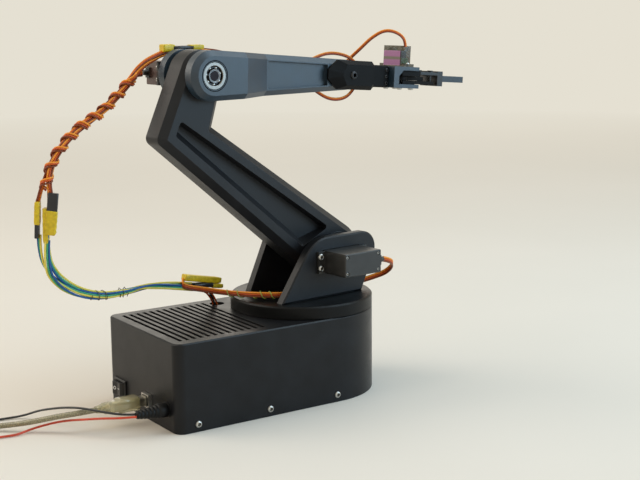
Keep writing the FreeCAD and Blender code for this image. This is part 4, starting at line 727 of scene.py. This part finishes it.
# Gripper servo: a micro servo in a smoky clear case, so its motor, gears and board show through.
# A plain purple sticker is wrapped on its rear side.
smoky = clear_plastic(
    "smoky_clear_case", (0.11, 0.095, 0.07), (0.16, 0.145, 0.11), 150.0, 900.0, (0.1, 0.22),
    {"Transmission Weight": 0.85, "IOR": 1.16, "Coat Weight": 0.8, "Coat Roughness": 0.12})
dress(smoky, "gripper_servo")
wrist_frame = Matrix((wrist_ahead, wrist_up.cross(wrist_ahead), wrist_up)).transposed().to_4x4()
wrist_frame.translation = wrist_at / MM


def rounded(s0, s1, y0, y1, corner, height):
    """A rounded outline across the wrist's frame at a height, in millimetres."""
    points = []
    for s, y, start in ((s1 - corner, y1 - corner, 0.0), (s0 + corner, y1 - corner, 0.5),
                        (s0 + corner, y0 + corner, 1.0), (s1 - corner, y0 + corner, 1.5)):
        for i in range(6):
            a = pi * (start + i / 10)
            points.append(wrist_frame @ Vector((s + corner * cos(a), y + corner * sin(a), height)) * MM)
    return points


SHARPEST = 0.05


def wrist_block(name, outline, heights, finish, slot):
    """A block on the gripper: an outline of s0, s1, y0, y1 and corner, taken through heights and insets."""
    s0, s1, y0, y1, corner = outline
    rings = [rounded(s0 + inset, s1 - inset, y0 + inset, y1 - inset, max(corner - inset, SHARPEST), height)
             for height, inset in heights]
    made = skin(name, rings, finish)
    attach(made, "gripper_head")


brass = bright_steel("gear_brass", (0.55, 0.4, 0.16), 0.25, 0.4)
board_light = moulded_plastic("servo_board", (0.12, 0.52, 0.05), 0.3, 0.45)
for block in (
        ("servo_motor", (60.9, 70.7, -4.6, 5.2, 4.8),
         [(13.0, 0.8), (13.6, 0.0), (25.4, 0.0), (26.2, 1.0)], ground_steel, "steel"),
        ("servo_gears", (61.6, 70.0, -13.6, -5.2, 4.1),
         [(10.4, 0.4), (11.4, 0.0), (13.0, 0.0), (13.2, 1.8), (14.4, 1.8), (14.6, 0.3), (16.2, 0.3),
          (16.4, 1.4)], brass, "steel"),
        ("servo_board", (61.0, 68.6, -15.0, -14.2, 0.3),
         [(12.0, 0.1), (12.2, 0.0), (17.0, 0.0), (17.2, 0.1)], board_light, "board"),
        ("servo_pot", (62.4, 69.2, -13.4, -6.4, 3.4),
         [(17.2, 0.3), (17.6, 0.0), (23.2, 0.0), (23.6, 0.4)], socket_black, "servo_clear")):
    wrist_block(*block)
sticker, sticker_tree, sticker_shader = new_finish("purple_sticker")
STICKER_LOW, STICKER_HIGH = 10.4, 23.4
band = add(sticker_tree, "ShaderNodeMapRange", {
    "Value": reach_along(sticker_tree, wrist_at, wrist_up), "From Min": STICKER_LOW * MM,
    "From Max": STICKER_HIGH * MM})
PURPLE, LILAC, SLATE = (0.34, 0.125, 0.29), (0.46, 0.23, 0.4), (0.15, 0.13, 0.09)
fill(sticker_tree, sticker_shader, {
    "Base Color": tones(sticker_tree, band.outputs["Result"], [
        (0.0, LILAC), (0.06, PURPLE), (0.36, PURPLE), (0.44, SLATE), (0.56, SLATE), (0.64, PURPLE),
        (0.94, PURPLE), (1.0, LILAC)]),
    "Roughness": between(sticker_tree, noise(sticker_tree, 600.0), 0.28, 0.45)})
wrist_block("servo_sticker", (59.52, 59.66, -14.4, 7.0, 0.05), [(STICKER_LOW, 0.0), (STICKER_HIGH, 0.0)],
            sticker, "servo_clear")


# Spacers of the gripper bracket: printed blocks between its plates, over and under the toothed arms.
# They keep the plates apart and hide the space between the layers of the linkage.
UNDER_ARMS = [(-6.3, 0.0), (-3.3, 0.0), (-2.9, 0.4)]
for name, outline, heights in (
        ("bracket_spacer_top", (60.4, 84.0, -17.5, 17.5, 1.5), [(1.0, 0.4), (1.4, 0.0), (6.3, 0.0)]),
        ("bracket_spacer_low", (60.4, 71.6, -5.6, 5.6, 0.8), UNDER_ARMS),
        ("bracket_spacer_near", (60.4, 76.0, -18.5, -16.0, 0.8), UNDER_ARMS),
        ("bracket_spacer_far", (60.4, 76.0, 16.0, 18.5, 0.8), UNDER_ARMS)):
    wrist_block(name, outline, heights, black_dull, "black_print")


# Wiring over the elbow: flat ribbons of three vinyl wires from the servos, gathered into one bundle.
# The elbow servo's own ribbon leaves its boot and is wound round the others behind the arm.
def times(tree, vector, factor):
    """A vector made longer or shorter."""
    node = add(tree, "ShaderNodeVectorMath", {0: vector, "Scale": factor}, operation="SCALE")
    return node.outputs["Vector"]


def wire_layer():
    """Tree that lays wires along part of a route, side by side at a pitch or round a ring with some turns."""
    sizes = ("Begin", "Stop", "Width", "Pitch", "Roll", "Roll Turns", "Ring", "Start", "Step", "Turns",
             "Waver")
    tree, given, end = new_tree("lay_wires", [(label, "Float") for label in sizes] + [
        ("Wires", "Int"), ("Level", "Bool"), ("Finish", "Material")])
    route = step(tree, "MeshToCurve", {"Mesh": given["Geometry"]})
    even = step(tree, "ResampleCurve", {"Curve": route, "Length": 1.0 * MM}, mode="LENGTH")
    upright = step(tree, "SetCurveNormal", {"Curve": even, "Selection": given["Level"]}, mode="Z_UP")
    part = step(tree, "TrimCurve", {"Curve": upright, "Start": given["Begin"], "End": given["Stop"]},
                mode="FACTOR")
    copies = add(tree, "GeometryNodeDuplicateElements", {"Geometry": part, "Amount": given["Wires"]},
                 domain="SPLINE")
    index = copies.outputs["Duplicate Index"]
    along = step(tree, "SplineParameter", {})
    normal = step(tree, "InputNormal", {})
    tangent = step(tree, "InputTangent", {})
    place = step(tree, "InputPosition", {})
    beside = vector_calc(tree, "CROSS_PRODUCT", tangent, normal)

    def spoke(angle, reach):
        across = times(tree, normal, calc(tree, "COSINE", angle))
        upward = times(tree, beside, calc(tree, "SINE", angle))
        return times(tree, vector_calc(tree, "ADD", across, upward), reach)

    def turned(start, turns):
        return calc(tree, "MULTIPLY_ADD", calc(tree, "MULTIPLY", turns, 2 * pi), along, start)

    wound = calc(tree, "MULTIPLY_ADD", index, given["Step"], turned(given["Start"], given["Turns"]))
    from_middle = calc(tree, "SUBTRACT", index, calc(tree, "MULTIPLY_ADD", given["Wires"], 0.5, -0.5))
    sideways = calc(tree, "MULTIPLY", from_middle, given["Pitch"])
    drift = add(tree, "ShaderNodeTexNoise", {"Vector": place, "W": index, "Scale": 45.0},
                noise_dimensions="4D")
    drift = vector_calc(tree, "SUBTRACT", drift.outputs["Color"], (0.5, 0.5, 0.5))
    shift = vector_calc(tree, "ADD", spoke(wound, given["Ring"]),
                        spoke(turned(given["Roll"], given["Roll Turns"]), sideways))
    shift = vector_calc(tree, "ADD", shift, times(tree, drift, given["Waver"]))
    laid = step(tree, "SetPosition", {"Geometry": copies.outputs["Geometry"], "Offset": shift})
    share = calc(tree, "DIVIDE", calc(tree, "ADD", index, 0.5), given["Wires"])
    marked = step(tree, "StoreNamedAttribute", {"Geometry": laid, "Name": "wire", "Value": share},
                  data_type="FLOAT", domain="POINT")
    round_wire = step(tree, "CurvePrimitiveCircle", {
        "Resolution": 8, "Radius": calc(tree, "MULTIPLY", given["Width"], 0.5)})
    cover = step(tree, "CurveToMesh", {"Curve": marked, "Profile Curve": round_wire, "Fill Caps": True})
    smooth = step(tree, "SetShadeSmooth", {"Geometry": cover})
    return end_tree(tree, smooth, given, end)


def ribbon_vinyl(name, colours):
    """Vinyl wires of a ribbon, coloured one after the other."""
    material, tree, shader = new_finish(name)
    wire = add(tree, "ShaderNodeAttribute", {}, attribute_name="wire").outputs["Fac"]
    base = tones(tree, wire, [(i / len(colours), c) for i, c in enumerate(colours)], steps=True)
    cloud = noise(tree, 350.0)
    worn = add(tree, "ShaderNodeMix", {"Factor": between(tree, cloud, 0.0, 0.35)}, data_type="RGBA",
               blend_type="MULTIPLY")
    fill(tree, worn, {MIX_FROM: base, MIX_TO: (0.82, 0.76, 0.72, 1.0)})
    fill(tree, shader, {
        "Base Color": worn.outputs[MIXED], "Roughness": between(tree, cloud, 0.34, 0.48),
        "Specular IOR Level": 0.32, "Normal": bumped(tree, noise(tree, 2500.0), 0.1, 0.05)})
    return material


def route_line(name, points):
    """The smooth line of a route as a bare mesh of edges; the points are in millimetres."""
    curve = route_curve(name, points, 0.0)
    graph = bpy.context.evaluated_depsgraph_get()
    data = bpy.data.meshes.new_from_object(curve.evaluated_get(graph), depsgraph=graph)
    bpy.data.objects.remove(curve)
    return piece(name, data)


wire_tree = wire_layer()
FLAT = {"roll": -pi / 2, "level": True}


def lay_wires(name, points, finish, wires, width, pitch=0.0, **more):
    """Wires along a route, with their sizes in millimetres."""
    sizes = {"begin": 0.0, "stop": 1.0, "waver": 0.0, "ring": 0.0, **more}
    for key in ("waver", "ring"):
        sizes[key] *= MM
    return grow(route_line(name, points), wire_tree, wires=wires, width=width * MM, pitch=pitch * MM,
                finish=finish, **sizes)


def twisted(number, turns):
    """How one of three ribbons turns about the middle of a bundle, with its face to the middle."""
    start = 2 * pi * number / 3
    return {"start": start, "roll": start + pi / 2, "turns": turns, "roll_turns": turns}


def wind_ties(line, finish, width, ring, spans):
    """Thin wire wound round a bundle; spans are (name, begin, stop, turns)."""
    return [lay_wires(name, line, finish, 1, width, begin=begin, stop=stop, ring=ring, turns=turns, waver=0.8)
            for name, begin, stop, turns in spans]


ORANGE, RED, BROWN = (0.84, 0.28, 0.022), (0.55, 0.085, 0.014), (0.2, 0.042, 0.011)
servo_ribbon = ribbon_vinyl("servo_ribbon", [BROWN, RED, ORANGE])
turn = atan2(-arm_side.x, arm_side.y)


def on_arm(points, start=(0, 0, 0)):
    """Points of the arm's own frame, in millimetres, turned with the arm about the waist."""
    spin = Matrix.Rotation(turn, 3, "Z")
    return [spin @ (Vector(p) + Vector(start)) for p in points]


ELBOW_ON_ARM = (-106.0, 0.0, 277.0)
UPPER_ROUTE = [(60, 9, 6.5), (46, 22, 14.5), (30, 30.3, 17.4), (12, 31.5, 17.8), (-6, 31.4, 17.6),
               (-20, 31.1, 12.8), (-31.5, 31, 6.8), (-48.3, 31, -11.1), (-68.5, 31.1, -28),
               (-90.7, 31.2, -38.9), (-107.7, 31.3, -54.3), (-118.6, 31.6, -74.1), (-122.5, 32, -91.8)]
BOOT_ROUTE = [(-17.2, 51.9, -0.4), (-23, 51, -0.8), (-30, 45, -1.0), (-35, 36, 0.4), (-37.5, 26.5, 0.8),
              (-41.5, 25.2, -2.4), (-46, 29, -5.5)]
upper_line = on_arm(UPPER_ROUTE, ELBOW_ON_ARM)
PICTURE_RIGHT, PICTURE_AWAY = Vector((0.827, -0.562, 0.0)), Vector((0.562, 0.827, 0.0))
boot_line = on_arm(BOOT_ROUTE, ELBOW_ON_ARM)
elbow_wires = []
for i, (aside, drop) in enumerate(((-3.8, 4.0), (2.0, 10.0), (7.0, -3.0))):
    fanned = upper_line[:-1] + [upper_line[-1] + PICTURE_RIGHT * aside - UP * drop]
    elbow_wires.append(lay_wires(
        "elbow_ribbon_%d" % i, fanned, servo_ribbon, 3, 1.5, 1.45, ring=1.7, waver=1.4, **twisted(i, 1.0)))
elbow_wires += [
    lay_wires("boot_ribbon", boot_line, servo_ribbon, 3, 1.5, 1.45, **FLAT),
    lay_wires("wound_ribbon", upper_line, servo_ribbon, 3, 1.6, begin=0.475, stop=0.97, ring=4.0, step=0.8,
              turns=9.0, waver=2.6)]
for wires in elbow_wires:
    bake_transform(wires)
    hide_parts("harness_upper")


# Connectors of the bundle: flat plug pairs, black housings in yellow shrink sleeves.
# One pair lies over the elbow, and three hang behind the arm, pushed together end to end.
def sleeve_rows(start, end, count=9):
    """Rows of a shrunk sleeve: full in the middle, drawn in at both ends."""
    rows = [(start, 0.8), (start + 0.5 * (1 if end > start else -1), 0.97)]
    for i in range(1, count):
        rows.append((start + (end - start) * i / count, 1.0 - 0.04 * (i % 2)))
    return rows + [(end, 0.78)]


yellow_sleeve = vinyl("yellow_sleeve", (0.66, 0.46, 0.008))
plug_black = moulded_plastic("plug_black", (0.014, 0.014, 0.016))
SLEEVE_DENT, PAIR_DENT = 0.16, 0.14
SLEEVE_DEEP, HOUSING_DEEP, HOUSING_LESS = 4.3, 3.4, 0.9
ahead_level = Vector((cos(turn), sin(turn), 0.0))
over_elbow = on_arm([(0, 31.5, 20.6)], ELBOW_ON_ARM)[0]
for name, rows, wide, deep, finish in (
        ("elbow_plug_rear", sleeve_rows(-11.0, 0.5, 6), 7.6, 6.4, yellow_sleeve),
        ("elbow_plug_housing", block_rows(-1.5, 18.5), 7.8, 3.0, plug_black),
        ("elbow_plug_front", sleeve_rows(16.0, 29.0, 6), 7.4, 4.4, yellow_sleeve)):
    made = flat_sleeve(name, over_elbow, ahead_level, arm_side, rows, wide, deep, finish, SLEEVE_DENT)
    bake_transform(made)
    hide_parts("harness_upper")
hang = upper_line[-1]
for name, aside, back, lean, facing, wide, parts in (
        ("plug_pair_right", 8.2, -2.5, 0.12, PICTURE_RIGHT, 9.0, ((5.5, -10.5, False), (-8.5, -27.5, True))),
        ("plug_pair_middle", 1.8, 0.5, 0.02, PICTURE_AWAY, 8.4, ((-6.5, -34.0, True),)),
        ("plug_pair_left", -4.0, 0.0, 0.06, PICTURE_AWAY, 8.4, ((-1.5, -20.0, True), (-19.0, -30.0, False)))):
    for number, (start, end, sleeved) in enumerate(parts):
        if sleeved:
            look = sleeve_rows(start, end), wide, SLEEVE_DEEP, yellow_sleeve, PAIR_DENT
        else:
            look = block_rows(start, end), wide - HOUSING_LESS, HOUSING_DEEP, plug_black
        made = flat_sleeve("%s_%d" % (name, number), hang + PICTURE_RIGHT * aside + PICTURE_AWAY * back,
                           UP + PICTURE_RIGHT * lean, facing, *look)
        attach(made, "upper_arm")
        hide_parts("harness_plugs")


# Extension ribbons from the connectors: blue, green and yellow wires that swing under the elbow
# and forward over the base, bound together by a few turns of thin wire.
BLUE, GREEN, YELLOW = (0.018, 0.1, 0.3), (0.06, 0.36, 0.2), (0.78, 0.63, 0.1)
long_ribbon = ribbon_vinyl("extension_ribbon", [BLUE, GREEN, YELLOW])
HOLE_AT = (-55.5, 49.5, 73.0)
PLUG_DROP = 28.0
LOWER_ROUTE = [(-174, -16, 64), (-163.5, -13.5, 47), (-145.5, -11.5, 34), (-123.5, -9.8, 27),
               (-99.5, -7.8, 26.3), (-75.5, -6, 27.5), (-51.5, -4.3, 24.5), (-28.5, -3, 20.3)]
FAN = [1.0, 0.95, 0.7, 0.4, 0.0, 0.0, 0.0, 0.0, 0.0]
SPREAD = [0.0, 0.0, 0.0, 0.0, 0.0, 0.1, 0.8, 1.0, 0.8]
tie_wire = bright_steel("tie_wire", (0.12, 0.12, 0.1), 0.35, 0.5)
below = Vector(UPPER_ROUTE[-1]) + Vector(ELBOW_ON_ARM) - UP * PLUG_DROP - Vector(HOLE_AT)
lower_line = on_arm([below] + LOWER_ROUTE, HOLE_AT)
lower_wires = []
for i, (aside, lift, part) in enumerate(((-5.6, 0.5, 3.0), (1.2, -3.5, 0.3), (5.0, 3.5, -2.6))):
    route = [point + PICTURE_RIGHT * aside * share + UP * (lift * share + part * wide)
             for share, wide, point in zip(FAN, SPREAD, lower_line)]
    lower_wires.append(lay_wires(
        "extension_ribbon_%d" % i, route, long_ribbon, 3, 1.65, 1.6, ring=2.0, waver=1.2, **twisted(i, 0.6)))
lower_wires += wind_ties(lower_line, tie_wire, 0.7, 4.1, [
    ("bundle_tie_rear", 0.42, 0.52, 2.5), ("bundle_tie_front", 0.575, 0.62, 2.2)])
for wires in lower_wires:
    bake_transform(wires)
    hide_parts("harness_lower")


# Shoulder servo's ribbon: out of the boot, round the near cheek and back between the cheeks.
# It doubles back at the bundle's end, and thin green wire ties it there.
SHOULDER_ROUTE = [(46.2, -55.4, 115), (56.2, -53.9, 112.5), (66.2, -47.4, 106.5), (67.2, -37.4, 98),
                  (60.2, -27.4, 92.8), (44.2, -19, 88.2), (20.2, -18.5, 87.3), (-7.8, -18.8, 87.6),
                  (-34, -18.5, 88.8), (-49, -4.5, 88.8), (-57, 14, 87.8), (-66, 32, 88.1),
                  (-80.5, 39.5, 91.5)]
RIBBON_LOOP = [(-89, 41.5, 93.5), (-96.5, 43, 96.5), (-92, 46.5, 100)]
green_tie = vinyl("green_tie", (0.26, 0.34, 0.05))
shoulder_line = on_arm(SHOULDER_ROUTE + RIBBON_LOOP)
shoulder_wires = [lay_wires("shoulder_ribbon", shoulder_line, servo_ribbon, 3, 1.7, 1.6, **FLAT)]
shoulder_wires += wind_ties(shoulder_line, green_tie, 0.8, 3.2, [
    ("shoulder_tie_front", 0.62, 0.70, 2.4), ("shoulder_tie_rear", 0.74, 0.81, 1.7)])
for wires in shoulder_wires:
    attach(wires, "turntable")
    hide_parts("shoulder_cable")


# Junction over the base: the ribbons' last connectors, two yellow sleeves and a black housing.
# They lie on the shoulder's ribbon, and the tail leaves under them.
for name, place, tip, rows, wide, deep, finish in (
        ("junction_sleeve_top", (-72, 47, 98.0), (40, 1.5, -8.5), sleeve_rows(-20.5, 19.0), 7.0, 5.8,
         yellow_sleeve),
        ("junction_housing", (-72, 46, 92.8), (40, 1.5, -4.5), block_rows(-11.0, 9.0), 6.6, 4.0, plug_black),
        ("junction_sleeve_low", (-61, 46, 90.6), (40, 3.0, -7.0), sleeve_rows(-3.0, 9.0, 6), 6.2, 4.0,
         yellow_sleeve)):
    spot, way = on_arm([place, tip])
    made = flat_sleeve(name, spot, way, arm_side, rows, wide, deep, finish, SLEEVE_DENT)
    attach(made, "turntable")
    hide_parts("shoulder_cable")


# Tail of the bundle: red, black and orange vinyl wires that leave the junction.
# They dive through the round hole in the base to the control board.
TAIL_ROUTE = [(-27.9, -3, 20.1), (-1.5, -0.5, 14.5), (0.6, 0, -12)]
tail_ribbon = ribbon_vinyl("tail_wires", [RED, (0.012, 0.012, 0.012), ORANGE, RED, (0.02, 0.02, 0.02)])
tail_line = on_arm(TAIL_ROUTE, HOLE_AT)
tail = lay_wires("tail_wires", tail_line, tail_ribbon, 5, 1.5, ring=1.7, step=2 * pi / 5, turns=0.5,
                 waver=0.8)
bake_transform(tail)
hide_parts("harness_tail")


# Wrist ribbons: one loop over and one under the pitch joint, and the gripper servo's own arc.
# Each is a small flat ribbon of three wires, free between the pieces it joins.
WRIST_WIRES = {
    "wrist_cable_top": ("forearm", -2, [
        (-34, 0, 10), (-22, 0, 15.8), (-8, 0, 18.4), (5.5, 0, 17.2), (15.5, 0, 14), (20, 0, 10)]),
    "wrist_cable_low": ("forearm", -2, [
        (-31, 0, -11.2), (-19.5, 0, -17.8), (-6.5, 0, -22), (7, 0, -21.2), (16, 0, -16.1), (20, 0, -10.2)]),
    "gripper_cable": ("gripper_head", -3, [
        (63.3, -16.7, 26.9), (62.4, -16.6, 32.5), (58.1, -16.2, 36.7), (52.7, -15.4, 39.0),
        (48.1, -14.1, 40.2), (43.3, -12.2, 40.2), (39.3, -9.8, 38.8), (35.2, -6.6, 35.5),
        (31.5, -3.0, 31.3), (26.7, 2.0, 23.8), (21.9, 7.0, 16.8), (18.1, 10.4, 11.4)])}
for name, (start_body, held, route) in WRIST_WIRES.items():
    line = [wrist_frame @ Vector(p) for p in route]
    wires = lay_wires(name.replace("cable", "ribbon"), line, servo_ribbon, 3, 1.1, 0.95, **FLAT)
    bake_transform(wires)
    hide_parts(name)


# Floor, soft studio light and the camera at the photograph's place.
# The floor fades into the pale backdrop far from the part.
# Cool lamps stand at the right and above, warm ones at the left and behind.
FLOOR_REACH, FLOOR_GAP = 30.0, 0.2 * MM
BACKDROP = (0.783, 0.745, 0.645, 1.0)
floor_data = bpy.data.meshes.new("floor")
corners = [(x * FLOOR_REACH, y * FLOOR_REACH, 0) for x, y in ((-1, -1), (1, -1), (1, 1), (-1, 1))]
floor_data.from_pydata(corners, [], [(0, 1, 2, 3)])
floor = piece("floor", floor_data)
floor.location.z = cad_box[0].z - FLOOR_GAP
pale, pale_tree, pale_shader = new_finish("pale_floor")
fill(pale_tree, pale_shader, {
    "Base Color": tones(pale_tree, noise(pale_tree, 2.0), [
        (0.3, (0.755, 0.69, 0.605)), (0.7, (0.785, 0.715, 0.63))]),
    "Roughness": 0.8})
far_off = add(pale_tree, "ShaderNodeMapRange", {
    "Value": vector_calc(pale_tree, "LENGTH", place_on(pale_tree)), "From Min": 0.5, "From Max": 3.0})
glow = add(pale_tree, "ShaderNodeEmission", {"Color": BACKDROP})
faded = add(pale_tree, "ShaderNodeMixShader", {
    0: far_off.outputs["Result"], 1: pale_shader.outputs["BSDF"], 2: glow.outputs["Emission"]})
pale_tree.links.new(faded.outputs["Shader"], pale_tree.nodes["Material Output"].inputs["Surface"])
floor_data.materials.append(pale)

world = bpy.data.worlds.new("studio")
scene.world = world
world.use_nodes = True
sky = world.node_tree
rays = add(sky, "ShaderNodeLightPath", {})
seen = calc(sky, "MAXIMUM", rays.outputs["Is Camera Ray"], calc(
    sky, "MAXIMUM", rays.outputs["Is Glossy Ray"], rays.outputs["Is Transmission Ray"]))
AMBIENT = 0.62
strength = add(sky, "ShaderNodeMapRange", {"Value": seen, "To Min": AMBIENT}).outputs["Result"]
fill(sky, sky.nodes["Background"], {"Color": BACKDROP, "Strength": strength})


LAMP_AIM = Vector((0.0, 0.0, 0.15))


def softbox(name, place, size, power, colour):
    """A large soft lamp that shines at the part."""
    data = bpy.data.lights.new(name, "AREA")
    data.shape = "RECTANGLE"
    data.size, data.size_y = size
    data.energy = power
    data.color = colour
    lamp = piece(name, data)
    lamp.location = place
    lamp.rotation_euler = (LAMP_AIM - Vector(place)).to_track_quat("-Z", "Y").to_euler()
    lamp.visible_camera = False


softbox("key", (-1.1, 0.5, 1.5), (1.4, 1.4), 12.0, (1.0, 0.94, 0.86))
softbox("warm_back", (-1.75, 1.6, 1.15), (1.2, 1.2), 14.0, (1.0, 0.92, 0.83))
softbox("rear_glow", (1.5, 2.3, 0.75), (1.6, 0.8), 4.0, (1.0, 0.93, 0.85))
softbox("cool_side", (1.45, -1.75, 0.8), (2.1, 1.2), 36.0, (0.45, 0.74, 1.0))
softbox("cool_top", (0.8, -0.3, 1.7), (1.1, 1.1), 12.0, (0.58, 0.81, 1.0))

EYE = Vector((-604.6, -920.8, 331.5)) * MM
YAW, DOWN, LEAN = radians(34.17), radians(10.39), radians(-0.48)
FOCUS_PX, WIDTH_PX, SENSOR = 1285.5, 640, 36.0
ahead = Vector((sin(YAW) * cos(DOWN), cos(YAW) * cos(DOWN), -sin(DOWN)))
level = Vector((cos(YAW), -sin(YAW), 0.0))
upward = level.cross(ahead)
right = level * cos(LEAN) + upward * sin(LEAN)
top = upward * cos(LEAN) - level * sin(LEAN)
camera_data = bpy.data.cameras.new("camera")
camera_data.sensor_width = SENSOR
camera_data.lens = SENSOR * FOCUS_PX / WIDTH_PX
camera = piece("camera", camera_data)
camera.matrix_world = Matrix.Translation(EYE) @ Matrix((right, top, -ahead)).transposed().to_4x4()
scene.camera = camera
scene.view_settings.view_transform = "Standard"
